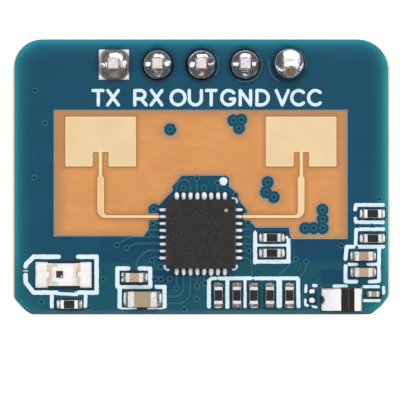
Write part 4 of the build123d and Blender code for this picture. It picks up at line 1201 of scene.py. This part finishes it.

# ================= step of the mask round the parts' lands, darkened as painted shade ===
STEPS = [
    (33.4, 94.6, 260.2, 290.2), (54.4, 83.8, 298.0, 310.8), (119.8, 148.0, 270.8, 285.0), (121.6, 162.6, 289.6, 309.6),
    (211.6, 224.8, 281.2, 309.6), (230.2, 243.2, 281.2, 309.6), (247.1, 260.2, 281.2, 309.6), (263.2, 276.4, 281.2, 309.6),
    (282.8, 296.0, 281.2, 309.6), (257.2, 286.8, 231.2, 244.0), (257.6, 286.4, 247.0, 259.0),
    (358.0, 386.4, 207.6, 219.8), (358.0, 386.4, 232.2, 244.6), (348.8, 377.6, 249.8, 262.4), (348.8, 377.6, 266.0, 278.6),
    (307.4, 317.2, 288.4, 304.6), (363.6, 382.4, 289.4, 298.6), (320.0, 361.6, 287.2, 312.2),
]
fst = Field(-9.9, 10.9, -14.45, -7.2, 0.04)
for x0, x1, y0, y1 in STEPS:
    a, b = q(x0, y1), q(x1, y0)
    fst.rect(a[0], b[0], a[1], b[1], 0.09)
for u0, u1 in ((-1.62, 1.62),):
    a, b = CHIP / 2 - 0.05, CHIP / 2 + 0.475
    fst.rect(CHIP_X + u0, CHIP_X + u1, CHIP_Y + a, CHIP_Y + b, 0.05)
    fst.rect(CHIP_X + u0, CHIP_X + u1, CHIP_Y - b, CHIP_Y - a, 0.05)
    fst.rect(CHIP_X - b, CHIP_X - a, CHIP_Y + u0, CHIP_Y + u1, 0.05)
    fst.rect(CHIP_X + a, CHIP_X + b, CHIP_Y + u0, CHIP_Y + u1, 0.05)
fst.rect(-3.3, 3.3, LINE0 - 0.035, LINE1 + 0.035, 0.0, "cut")
fst.wobble(0.016, 0.16, 21)
film("mask_steps_painted_shade", fst, [step_shade_mat], "solder_mask", 0.006, 0.06, Z_FRONT - 0.001)

# the ink's own edge, run down to each header land, darkened as painted shade
fringe = Shell()
for i, x in enumerate(PIN_X[1:]):
    prof = [(0.905, Z_LAM1 + 0.004), (0.905, Z_FRONT + 0.001), (0.960, Z_FRONT + 0.004), (0.990, Z_FRONT + 0.002), (0.992, Z_FRONT - 0.003)]
    v, f = revolve(prof[::-1], 72, (x, 0.0))
    fringe.add(v, f)
fq = Field(PIN_X[0] - 1.1, PIN_X[0] + 1.1, -1.1, 1.1, 0.022)
fq.rect(PIN_X[0] - 0.955, PIN_X[0] + 0.955, -0.955, 0.955, 0.02)
fq.rect(PIN_X[0] - 0.884, PIN_X[0] + 0.884, -0.884, 0.884, 0.01, "cut")
v, f, _ = fq.mesh(lift(0.005, 0.02), Z_FRONT - 0.001)
fringe.add(v, f)
fringe.build("mask_fringe_painted_shade", [fringe_shade_mat], "solder_mask", sharp=60)

# ================= header joints =================
JOINTS = [
    # radius, bulge, climb height, shape powers, crest offset x, y, unevenness, seed
    (0.84, 0.25, 0.98, 2.2, 0.98, 0.03, -0.04, 0.012, 4),
    (0.91, 0.44, 1.05, 2.4, 0.62, 0.00, 0.00, 0.010, 11),
    (0.91, 0.46, 1.05, 2.4, 0.62, 0.00, -0.02, 0.020, 23),
    (0.91, 0.45, 1.05, 2.5, 0.60, 0.00, 0.00, 0.008, 37),
    (0.91, 1.33, 1.33, 2.3, 0.60, 0.00, 0.00, 0.006, 52),
]
for i, x in enumerate(PIN_X):
    r, b, h, p1, p2, ox, oy, amp, seed = JOINTS[i]
    inner = 0.30 if i < 4 else 0.0
    nr, seg = 52, 120
    th = np.linspace(0, 2 * math.pi, seg, endpoint=False)
    V = []
    for t in th:
        c, sn = math.cos(t), math.sin(t)
        bq = ox * c + oy * sn
        reach = -bq + math.sqrt(bq * bq - (ox * ox + oy * oy) + r * r)      # crest to rim in this direction
        for k in range(nr + 1):
            u = math.cos(k / nr * math.pi / 2) if i == 4 else 1 - (1 - inner / reach) * (k / nr) ** 1.2
            rho = reach * u
            z = b * max(0.0, 1 - u ** p1) ** p2
            V.append((ox + rho * c, oy + rho * sn, z, u))
    V = np.array(V)
    rr = np.hypot(V[:, 0], V[:, 1])
    if i == 4:      # the pin is buried: a full button of solder, its top leaning back
        lean = 1.32 - 0.14 * (V[:, 1] + 0.08) - 0.40 * ((V[:, 1] + 0.08) ** 2 + 1.25 * (V[:, 0] - 0.14) ** 2) / 2
        wall = 1.72 * np.sqrt(np.clip(1 - np.clip(rr / r, 0, 1) ** 6, 0, 1))
        V[:, 2] = np.maximum(0, -0.07 * np.log(np.exp(-lean / 0.07) + np.exp(-wall / 0.07)))
        V[:, 2] *= np.clip((1 - V[:, 3]) / 0.002, 0, 1)
    sqr = np.maximum(np.abs(V[:, 0]), np.abs(V[:, 1]))
    if i < 4:
        V[:, 2] += (h - b * (1 - (0.36 / r) ** p1) ** p2) * np.exp(-np.maximum(0.0, 0.5 * (rr + sqr) - 0.335) / 0.016)
    w = np.clip((1 - V[:, 3]) / 0.10, 0, 1)
    dz = amp * vnoise(V[:, 0] / 0.30 + seed, V[:, 1] / 0.30, seed) + 0.35 * amp * vnoise(V[:, 0] / 0.11, V[:, 1] / 0.11 + seed, seed + 1)
    # flux-pitted patch on the lower side
    cy_ = (-0.5, -0.54, -0.5, -0.56, -0.44)[i]
    low = np.exp(-((V[:, 0] + 0.02) ** 2 / 0.07 + (V[:, 1] - cy_) ** 2 / 0.018))
    if i == 4:
        ring = np.hypot((V[:, 0] - 0.03) / 0.36, (V[:, 1] - cy_) / 0.30)
        low = np.exp(-((ring - 1.0) / 0.22) ** 2) * (V[:, 1] < cy_ + 0.16)
    pit = (0.006, 0.040, 0.016, 0.016, 0.045)[i]
    dz += pit * low * vnoise(V[:, 0] / 0.06, V[:, 1] / 0.06, seed + 3)
    ru = V[:, 3]
    # painted dark reflection: rim and edge weight the darkening of the joint's outer part, strongest at the very edge
    rim = np.clip((ru - 0.80) / 0.16, 0, 1)
    edge = 0.85 * np.clip((ru - 0.85) / 0.06, 0, 1)
    if i in (2, 3, 4):      # the painted rim darkening is lifted on the right side of these, which stays bright to the rim
        ang = np.degrees(np.arctan2(V[:, 1], V[:, 0]))
        lit = np.clip(1.4 - np.abs(ang - (10, 0, -15)[i - 2]) / 45, 0, 1)
        rim, edge = rim * (1 - 0.85 * lit), edge * (1 - 0.6 * lit)
    if i == 4:
        rim, edge = 0.35 * rim, 0.0 * edge
    # painted brown reflection on the lower side of joints 1, 3 and 5
    painted_brown_reflection = np.exp(-(((V[:, 0] - 0.03) / 0.34) ** 4 + ((V[:, 1] - cy_) / 0.25) ** 4)) * (0.0, 0.0, 0.35, 0.0, 1.0)[i]
    if i == 0:
        painted_brown_reflection = 0.85 * np.exp(-((V[:, 0] / 0.66) ** 4 + ((V[:, 1] + 0.66) / 0.36) ** 4))
    V[:, 2] = np.clip(V[:, 2] + w * dz, 0, h) + Z_FRONT - 0.001
    V = V[:, :3]
    V[:, 0] += x
    n = nr + 1
    s = Shell()
    if i < 4:
        low = [(inner - 0.02, Z_BACK + 0.01), (0.49, Z_BACK + 0.01), (0.49, Z_FRONT - 0.001)]
    else:
        low = [(0.0, Z_BACK + 0.01), (0.49, Z_BACK + 0.01), (0.49, Z_FRONT - 0.001)]
    m = len(low)
    L = np.array([(x + q_ * math.cos(t), q_ * math.sin(t), zz) for t in th for q_, zz in low])
    base = len(V)
    AV = np.concatenate([V, L])
    Fc = []
    for a in range(seg):
        c = (a + 1) % seg
        for k in range(n - 1):
            Fc.append([a * n + k, c * n + k, c * n + k + 1, a * n + k + 1])
        Fc.append([a * n + n - 1, c * n + n - 1, base + c * m, base + a * m])
        for k in range(m - 1):
            Fc.append([base + a * m + k, base + c * m + k, base + c * m + k + 1, base + a * m + k + 1])
        Fc.append([base + a * m + m - 1, base + c * m + m - 1, c * n, a * n])
    s.add(AV, Fc, 0)
    pad = np.zeros(len(L))
    mats, attrs = [joint_mat], {"rim": np.concatenate([rim, pad]), "edge": np.concatenate([edge, pad]), "painted_brown_reflection": np.concatenate([painted_brown_reflection, pad])}
    if i == 0:
        # tin over the square land, thicker at its corners
        g = np.linspace(-0.888, 0.888, 41)
        GX, GY = np.meshgrid(g, g, indexing="ij")
        e = 0.888 - np.maximum(np.abs(GX), np.abs(GY))
        rad = np.hypot(GX, GY)
        Z = 0.045 * np.clip(e / 0.05, 0, 1) ** 0.5 + 0.05 * np.clip((rad - 0.92) / 0.2, 0, 1) * np.clip(e / 0.1, 0, 1)
        Z = np.clip(Z + 0.008 * vnoise(GX / 0.12, GY / 0.12, 17), 0.001, None) + Z_FRONT - 0.002
        nx = len(g)
        top = np.stack([GX + x, GY, Z], -1).reshape(-1, 3)
        bot = top.copy()
        bot[:, 2] = Z_FRONT - 0.004
        N = len(top)
        fc = []
        for a in range(nx - 1):
            for c in range(nx - 1):
                k = a * nx + c
                fc.append([k, k + nx, k + nx + 1, k + 1])
                fc.append([N + k, N + k + 1, N + k + nx + 1, N + k + nx])
        for c in range(nx - 1):
            k = (nx - 1) * nx + c
            fc.append([c, c + 1, N + c + 1, N + c])
            fc.append([k + 1, k, N + k, N + k + 1])
            k = c * nx
            fc.append([k + nx, k, N + k, N + k + nx])
            k = c * nx + nx - 1
            fc.append([k, k + nx, N + k + nx, N + k])
        s.add(np.concatenate([top, bot]), fc, 1)
        # painted highlight on the thick corner tin, and painted shade along a line round the joint
        corner_tin_highlight = np.clip((rad - 0.97) / 0.08, 0, 1).reshape(-1)
        line = (np.clip(1 - np.abs(rad - 0.865) / 0.05, 0, 1) * 0.8).reshape(-1)
        pad, off = np.zeros(len(AV)), np.zeros(2 * len(corner_tin_highlight))
        mats = [joint_dull_mat, corner_tin_mat]
        attrs = {k: np.concatenate([v, off]) for k, v in attrs.items()}
        attrs.update({"corner_tin_highlight": np.concatenate([pad, corner_tin_highlight, corner_tin_highlight]), "line": np.concatenate([pad, line, line])})
    s.build(f"joint_{i + 1}", mats, "solder", [f"solder_joint_{i + 1}"], sharp=60, attrs=attrs)

# raised lip of the ink, where it stands up beside a joint, paled as a painted highlight: joint, radius, offset, middle
# angle, half angle
LIPS = [(2, 0.985, 0.02, 0.00, 0, 42), (3, 0.990, 0.00, 0.00, -35, 88), (4, 0.995, 0.02, 0.00, 20, 40), (4, 1.10, -0.05, 0.00, 205, 42)]
lips = Shell()
for i, r, dx, dy, mid_a, half_a in LIPS:
    prof = [(r - 0.026, Z_FRONT - 0.004), (r - 0.018, Z_FRONT + 0.012), (r, Z_FRONT + 0.018), (r + 0.018, Z_FRONT + 0.012), (r + 0.026, Z_FRONT - 0.004)]

    def fade(v, mid_a=mid_a, half_a=half_a):
        a = np.degrees(np.arctan2(v[:, 1], v[:, 0]))
        off = np.abs((a - mid_a + 180) % 360 - 180)
        v[:, 2] = Z_FRONT - 0.004 + (v[:, 2] - Z_FRONT + 0.004) * np.clip((half_a - off) / 18, 0, 1)
        return v
    v, f = revolve(prof[::-1], 72, (PIN_X[i] + dx, dy), fade)
    lips.add(v, f)
lips.build("mask_lips_painted_highlight", [lip_highlight_mat], "solder_mask", sharp=60)

# ================= radar chip =================
sh = Shell()
zc0, zc1 = Z_FRONT + 0.02, Z_FRONT + 0.82
nseg = 60
h = CHIP / 2
g = np.linspace(-h, h, nseg + 1)
GX, GY = np.meshgrid(g, g, indexing="ij")
r = 0.035
dx, dy = 1.46, 1.37


def chip_top(X, Y):
    e = np.minimum(h - np.abs(X), h - np.abs(Y))
    z = np.where(e < r, -(r - np.sqrt(np.clip(r * r - (r - e) ** 2, 0, None))), 0)
    d = np.hypot(X - dx, Y - dy)
    z = z - 0.035 * np.clip(1 - (d / 0.135) ** 2, 0, 1) ** 0.7
    return zc1 + z


extra = np.array([-h, -h + 0.010, -h + 0.025, -h + r])
core = np.linspace(-h + 0.09, h - 0.09, 56)
fine = np.concatenate([extra, core, -extra[::-1]])
fx_ = np.unique(np.concatenate([fine, dx + np.linspace(-0.15, 0.15, 13)]).round(5))
fy_ = np.unique(np.concatenate([fine, dy + np.linspace(-0.15, 0.15, 13)]).round(5))
fx_, fy_ = fx_[np.abs(fx_) <= h], fy_[np.abs(fy_) <= h]
GX, GY = np.meshgrid(fx_, fy_, indexing="ij")
ZT = chip_top(GX, GY)
nx, ny = GX.shape
top = np.stack([GX + CHIP_X, GY + CHIP_Y, ZT], -1).reshape(-1, 3)
bot = top.copy()
bot[:, 2] = zc0
faces = []
N = len(top)
for i in range(nx - 1):
    for j in range(ny - 1):
        a = i * ny + j
        faces.append([a, a + ny, a + ny + 1, a + 1])
        faces.append([N + a, N + a + 1, N + a + ny + 1, N + a + ny])
for j in range(ny - 1):
    faces.append([j, j + 1, N + j + 1, N + j])
    a = (nx - 1) * ny + j
    faces.append([a + 1, a, N + a, N + a + 1])
for i in range(nx - 1):
    a = i * ny
    faces.append([a + ny, a, N + a, N + a + ny])
    a = i * ny + ny - 1
    faces.append([a, a + ny, N + a + ny, N + a])
sh.add(np.concatenate([top, bot]), faces, 0)
v, f = revolve([(0.115, zc1 - 0.040), (0.105, zc1 - 0.020), (0.002, zc1 - 0.018), (0.002, zc1 - 0.040)], 28, (CHIP_X + dx, CHIP_Y + dy))
sh.add(v, f, 1)
sh.build("radar_chip_body", [chip_mat, dot_mat], "chip_plastic", ["radar_chip"], sharp=50)

# lead ends in the chip's sides, and the solder on each land
leads, sol = Shell(), Shell()
rng = np.random.RandomState(5)
for k in range(8):
    t = (k - 3.5) * 0.40
    for side, (ux, uy) in enumerate(((0, 1), (0, -1), (-1, 0), (1, 0))):
        # lead end face, just proud of the body
        v, f = rounded_box((-0.01, -0.11, 0.0), (0.008, 0.11, 0.20), 0.008, 2, 0.1)
        ang = math.atan2(uy, ux)
        R = np.array([[math.cos(ang), -math.sin(ang), 0], [math.sin(ang), math.cos(ang), 0], [0, 0, 1]])
        base = np.array([CHIP_X + ux * h + (t if uy else 0), CHIP_Y + uy * h + (t if ux else 0), Z_FRONT + 0.02])
        leads.add(v @ R.T + base, f, 0)
        if k == 4 - 0 and False:
            continue
        line = (side == 2 and k == 6) or (side == 3 and k == 6)
        ln = 0.44 + (0.02 * rng.rand() - 0.015)
        wd = (0.124, 0.118, 0.094, 0.094)[side] + 0.012 * rng.rand() - 0.006
        if side == 0 and k == 4:
            wd = 0.155
        if side == 1 and k == 5:
            wd = 0.140
        v, f = blob(ln / 2, wd, 0.085, 100 + k * 4 + side, px=2.6, rings=7, seg=26, tail=0.30, wob=0.09)
        v[:, 0] += ln / 2 - 0.02
        bs = np.array([base[0], base[1], Z_FRONT - 0.002])
        sol.add(v @ R.T + bs, f, 0)
# thin moulding flash where the saw met the body, paler than the top
for side in (-1, 1):
    v, f = rounded_box((CHIP_X + side * (h + 0.004) - 0.012, CHIP_Y - h + 0.05, zc1 - 0.10), (CHIP_X + side * (h + 0.004) + 0.012, CHIP_Y + h - 0.05, zc1 - 0.012), 0.01, 2, 0.12,
                       lambda p, n: 0.006 * vnoise(p[:, 1] / 0.07, p[:, 2] / 0.05, 77) - 0.006)
    leads.add(v, f, 1)
leads.build("radar_chip_lead_ends", [lead_mat, chip_rim_mat], "lead_metal", sharp=40)
sol.build("radar_chip_fillets", [lead_fillet_mat], "solder", ["radar_chip_solder"], sharp=60)

# ================= two-ended chips =================
FR, BK = (Z_FRONT, 1), (Z_BACK, -1)
R4 = (1.00, 0.50, 0.35, 0.20, 1.50, 0.60)
C4 = (1.06, 0.55, 0.52, 0.30, 1.50, 0.60)
RES = [
    ("resistor_1", -7.67, -13.93, "x"), ("resistor_2", 0.99, -13.41, "y"), ("resistor_3", 2.06, -13.41, "y"),
    ("resistor_4", 3.04, -13.41, "y"), ("resistor_5", 3.98, -13.41, "y"), ("resistor_6", 5.12, -13.41, "y"),
    ("resistor_7", 4.10, -10.06, "x"), ("resistor_8", 4.10, -10.95, "x"), ("resistor_9", 9.94, -8.67, "x"),
    ("resistor_10", 9.95, -10.10, "x"),
]
front_sol = Shell()


def toe(cx, cy, a, b, hgt, seed, ax, mat=2):
    """Bright bead where the solder ends on its land: half length a along the part, b across it."""
    v, f = blob(a, b, hgt, seed, px=2.8, rings=5, seg=26, wob=0.14)
    front_sol.add(turn(v, ax, cx, cy, Z_FRONT), f, mat)


for k, (name, cx, cy, ax) in enumerate(RES):
    l, w, hh, end, ll, lw = R4
    s = Shell()
    v, f = rounded_box((-l / 2 + 0.03, -w / 2 + 0.012, 0.012), (l / 2 - 0.03, w / 2 - 0.012, hh - 0.03), 0.015, 2, 0.2)
    s.add(turn(v, ax, cx, cy, Z_FRONT), f, 0)
    v, f = rounded_box((-l / 2 + end - 0.01, -w / 2 + 0.028, hh - 0.045), (l / 2 - end + 0.01, w / 2 - 0.028, hh - 0.012), 0.014, 3, 0.06,
                       bumps(0.004, 0.12, 40 + k))
    s.add(turn(v, ax, cx, cy, Z_FRONT), f, 1)
    for e in (-1, 1):
        a, b = sorted((e * (l / 2 - end), e * l / 2))
        v, f = rounded_box((a, -w / 2, 0.0), (b, w / 2, hh), 0.035, 3, 0.035, bumps(0.014, 0.08, 60 + 2 * k + e))
        s.add(turn(v, ax, cx, cy, Z_FRONT), f, 2)
        v, f = fillet_shape((ll - l) / 2, lw - 0.02, 0.20, 200 + 2 * k + (e > 0), power=1.5, ragged=0.05)
        v[:, 0] = v[:, 0] + l / 2 - 0.01
        if e < 0:
            v = v * np.array([-1, -1, 1])
        front_sol.add(turn(v, ax, cx, cy, Z_FRONT), f)
        if ax == "x":
            wide_toe = 0.10 if k in (6, 7, 8, 9) or (k == 0 and e < 0) else 0.055
            toe(cx + e * (ll / 2 - wide_toe - 0.01), cy, wide_toe, lw / 2 - 0.05, 0.13, 220 + 2 * k + e, ax)
        elif e < 0 and k in (1, 3, 5):
            toe(cx + 0.01, cy + e * (ll / 2 - 0.05), 0.04, lw / 2 - 0.08, 0.06, 220 + 2 * k + e, ax)
    s.build(name + "_part", [alumina_mat, glaze_mat, tin_sheet_mat if k in (0, 8) else cap_end_mat], "resistor_body", [name], sharp=45)

# the empty footprint: solder drawn up into a low pillow on each land
for (bx0, bx1, by0, by1), seed in (((6.26, 6.60, -13.31, -13.05), 91), ((6.26, 6.60, -13.85, -13.56), 94)):
    v, f = blob((bx1 - bx0) / 2, (by1 - by0) / 2, 0.06, seed, px=2.8, rings=6, seg=30, wob=0.10)
    front_sol.add(turn(v, "x", (bx0 + bx1) / 2, (by0 + by1) / 2, Z_FRONT), f, 2)

CAPS = [
    ("capacitor_1", -3.88, -12.37, "x", (1.06, 0.60, 0.52, 0.29, 1.54, 0.60), cap_body_mat, FR),
    ("capacitor_2", 9.41, -11.13, "x", C4, cap_big_mat, FR),
    ("capacitor_3", 9.41, -12.07, "x", C4, cap_body_mat, FR),
    ("capacitor_4", -3.41, -13.63, "x", (1.70, 0.92, 0.80, 0.42, 2.20, 0.96), cap_big_mat, FR),
    ("capacitor_small", 10.01, -13.33, "x", (0.62, 0.33, 0.30, 0.19, 0.80, 0.38), cap_small_mat, FR),
    ("back_capacitor_1", -6.80, -3.40, "x", (1.60, 0.80, 0.80, 0.35, 2.30, 0.90), cap_big_mat, BK),
    ("back_capacitor_2", -6.80, -9.20, "x", (1.60, 0.80, 0.80, 0.35, 2.30, 0.90), cap_big_mat, BK),
    ("back_capacitor_3", 5.20, -8.60, "y", (1.00, 0.50, 0.50, 0.25, 1.50, 0.60), cap_body_mat, BK),
    ("back_capacitor_4", 2.60, -5.60, "x", (1.00, 0.50, 0.50, 0.25, 1.50, 0.60), cap_body_mat, BK),
]
for k, (name, cx, cy, ax, d, mat, (z, up)) in enumerate(CAPS):
    l, w, hh, end, ll, lw = d
    w = min(w, 0.55) if name == "capacitor_1" else w
    s = Shell()
    rr = 0.07 * hh + 0.012
    v, f = rounded_box((-l / 2 + 0.04, -w / 2 + 0.014, 0.014), (l / 2 - 0.04, w / 2 - 0.014, hh - 0.014), rr, 3, 0.07, bumps(0.004, 0.2, 400 + k))
    s.add(turn(v, ax, cx, cy, z, up), flipped(f, up), 0)
    for e in (-1, 1):
        a, b = sorted((e * (l / 2 - end), e * l / 2))
        v, f = rounded_box((a, -w / 2, 0.0), (b, w / 2, hh), rr + 0.02, 4, 0.04, bumps(0.02, 0.11, 430 + 2 * k + e))
        s.add(turn(v, ax, cx, cy, z, up), flipped(f, up), 1)
        if up > 0:
            v, f = fillet_shape((ll - l) / 2, lw - 0.02, 0.42 * hh, 500 + 2 * k + (e > 0), power=2.2, ragged=0.05)
            v[:, 0] += l / 2 - 0.01
            if e < 0:
                v = v * np.array([-1, -1, 1])
            front_sol.add(turn(v, ax, cx, cy, z), f)
            tx = cx + e * (ll / 2 - 0.07)
            if name == "capacitor_1" and e < 0:
                toe(tx, cy + 0.17, 0.07, 0.11, 0.13, 600, ax)
                toe(tx, cy - 0.17, 0.07, 0.10, 0.13, 601, ax)
            elif name == "capacitor_4":
                toe(tx, cy + (0.02 if e < 0 else 0.06), 0.085, (0.41 if e < 0 else 0.30), 0.16, 602 + e, ax)
            elif name != "capacitor_small":
                toe(tx, cy, 0.065, lw / 2 - 0.09, 0.12, 605 + 2 * k + e, ax)
    s.build(name + "_part", [mat, cap_end_mat], "capacitor_body", [name], sharp=45)

# ================= light-emitting chip =================
lx, ly = -8.00, -12.20
zb = Z_FRONT + 0.25
s = Shell()


def notched(x0, x1, y0, y1, z0, z1, notch_r, seg=14):
    """Flat bar with a half-round notch in each end."""
    pts = [(x1, y0)]
    for i in range(seg + 1):
        a = math.radians(-90 - 180 * i / seg)
        pts.append((x1 + notch_r * math.cos(a), (y0 + y1) / 2 + notch_r * math.sin(a)))
    pts += [(x1, y1), (x0, y1)]
    for i in range(seg + 1):
        a = math.radians(90 - 180 * i / seg)
        pts.append((x0 + notch_r * math.cos(a), (y0 + y1) / 2 + notch_r * math.sin(a)))
    pts.append((x0, y0))
    n = len(pts)
    v = [(a, b, z1) for a, b in pts] + [(a, b, z0) for a, b in pts]
    f = [list(range(n)), [n + i for i in reversed(range(n))]]
    for i in range(n):
        j = (i + 1) % n
        f.append([j, i, n + i, n + j])
    return v, f


v, f = notched(lx - 1.0, lx + 1.0, ly - 0.65, ly + 0.65, Z_FRONT + 0.002, zb - 0.012, 0.27)
s.add(v, f, 0)
# plated ends of the base, with their half-round notches
for e in (-1, 1):
    fe = Field(0.60, 1.05, -0.70, 0.70, 0.02)
    fe.rect(0.69, 0.995, -0.62, 0.62, 0.10)
    fe.disc((1.0, 0.0), 0.265, "cut")
    fe.wobble(0.010, 0.11, 12 + e)
    v, f, _ = fe.mesh(lift(0.016, 0.03), zb - 0.013)
    if e < 0:
        v = v * np.array([-1, -1, 1])
    s.add(v + np.array([lx, ly, 0]), f, 1)
# floor of the emitter window, its two pads and the corner marks
v, f = rounded_box((lx - 0.70, ly - 0.64, zb - 0.02), (lx + 0.70, ly + 0.64, zb - 0.004), 0.006, 2, 0.1)
s.add(v, f, 2)
for (x0, x1, y0, y1), m in (((-0.52, 0.02, -0.20, 0.24), 1), ((0.18, 0.52, -0.17, 0.17), 1),
                            ((-0.64, -0.34, 0.46, 0.625), 3), ((-0.66, -0.32, -0.625, -0.40), 3)):
    v, f = rounded_box((lx + x0, ly + y0, zb - 0.008), (lx + x1, ly + y1, zb + (0.006 if m == 1 else 0.003)), 0.006, 2, 0.1)
    s.add(v, f, m if m == 3 else 4)
s.build("led_package", [led_base_mat, led_gold_mat, led_pink_mat, led_green_mat, led_pink_mat], "led_base",
        ["led_base", "led_metal"], sharp=40)
v, f = rounded_box((lx - 0.22 - 0.20, ly + 0.02 - 0.20, zb + 0.006), (lx - 0.22 + 0.20, ly + 0.02 + 0.20, zb + 0.12), 0.012, 2, 0.05,
                   bumps(0.006, 0.08, 5))
sd = Shell().add(v, f, 0)
# white dot at the die's lower right: a painted glint
v, f = blob(0.055, 0.045, 0.03, 3, rings=5, seg=16)
sd.add(v + np.array([lx - 0.10, ly - 0.09, zb + 0.112]), f, 1)
sd.build("led_chip", [die_mat, tin_sheet_mat], "led_die", ["led_die"], sharp=45)


# clear lens: bar with leaning ends and rounded long edges
def lens(x0, x1, y0, y1, z0, z1, lean, r, n=4):
    v, f = rounded_box((x0, y0, z0), (x1, y1, z1), r, n, 0.12)
    t = np.clip((v[:, 2] - z0) / (z1 - z0), 0, 1)
    c = (x0 + x1) / 2
    v[:, 0] = c + (v[:, 0] - c) * (1 - lean * t)
    return v, f


v, f = lens(lx - 0.68, lx + 0.68, ly - 0.65, ly + 0.65, zb - 0.002, zb + 0.45, 0.13, 0.03)
Shell().add(v, f).build("led_clear_lens", [lens_mat], "led_lens", ["led_lens"], sharp=50)

# solder at the light's ends: flat square-cornered sheets rising to the plated ends
for e, x_out, x_in in ((-1, -9.655, -8.93), (1, -6.375, -7.07)):
    fe = Field(-9.75, -8.8, -13.1, -11.35, 0.025) if e < 0 else Field(-7.15, -6.25, -13.1, -11.35, 0.025)
    fe.rect(min(x_out, x_in), max(x_out, x_in), ly - 0.775, ly + 0.725, 0.035)
    fe.wobble(0.012, 0.14, 701 + e)

    def rise(x, y, d, e=e, x_out=x_out, x_in=x_in):
        t = np.clip((x - x_out) / (x_in - x_out), 0, 1)
        side = np.clip((np.abs(y - ly) - 0.52) / 0.26, 0, 1)
        return np.clip(d / 0.07, 0, 1) ** 0.5 * (0.10 + 0.15 * t ** 0.8) * (1 - 0.35 * side) + 0.006 * vnoise(x / 0.16, y / 0.16, 77 + e)
    v, f, _ = fe.mesh(rise, Z_FRONT - 0.002)
    front_sol.add(v, f, 1)
    v, f = blob(0.25, 0.25, 0.24, 710 + e, rings=6, seg=24)
    front_sol.add(v + np.array([lx + e * 1.0, ly, Z_FRONT]), f, 1)

# ================= input protection chip =================
px_, py_, pl, pw, ph = 8.475, -13.65, 1.57, 1.31, 0.60
s = Shell()
v, f = rounded_box((px_ - 0.40, py_ - pw / 2 + 0.01, Z_FRONT + 0.01), (px_ + 0.40, py_ + pw / 2 - 0.01, Z_FRONT + ph - 0.012), 0.03, 3, 0.06)
s.add(v, f, 0)
v, f = rounded_box((px_ + 0.015, py_ - pw / 2 + 0.02, Z_FRONT + ph - 0.02), (px_ + 0.085, py_ + pw / 2 - 0.02, Z_FRONT + ph - 0.004), 0.005, 2, 0.1)
s.add(v, f, 1)
v, f = rounded_box((px_ - pl / 2, py_ - pw / 2 + 0.02, Z_FRONT), (px_ - pl / 2 + 0.435, py_ + pw / 2 - 0.02, Z_FRONT + ph - 0.01), 0.035, 3, 0.06, bumps(0.010, 0.2, 81))
s.add(v, f, 2)
v, f = rounded_box((px_ + pl / 2 - 0.41, py_ - pw / 2, Z_FRONT), (px_ + pl / 2, py_ + pw / 2, Z_FRONT + ph), 0.035, 3, 0.05, bumps(0.018, 0.12, 83))
s.add(v, f, 2)
s.build("protection_chip_part", [prot_mat, prot_line_mat, tin_sheet_mat], "protection_body", ["protection_chip"], sharp=45)
fp = Field(6.8, 8.3, -14.5, -12.9, 0.025)
fp.rect(6.965, 8.135, py_ - 0.66, py_ + 0.645, 0.03)
fp.disc((6.86, py_ - 0.02), 0.27, "cut")
fp.wobble(0.012, 0.12, 31)
v, f, _ = fp.mesh(lambda x, y, d: np.clip(d / 0.05, 0, 1) ** 0.5 * (0.34 + 0.272 * np.sin(np.clip((x - 6.96) / 0.80, 0, 1) * math.pi / 2))
                  + 0.004 * vnoise(x / 0.2, y / 0.2, 8), Z_FRONT - 0.002)
front_sol.add(v, f, 1)
v, f = fillet_shape(0.06, 1.20, 0.10, 91, n=4, m=24, ragged=0.10)
v[:, 0] += px_ + pl / 2 - 0.02
v[:, 1] += py_
v[:, 2] += Z_FRONT
front_sol.add(v, f, 1)
front_sol.build("front_fillets", [fillet_mat, tin_sheet_mat, toe_mat], "solder", ["front_solder"], sharp=60)
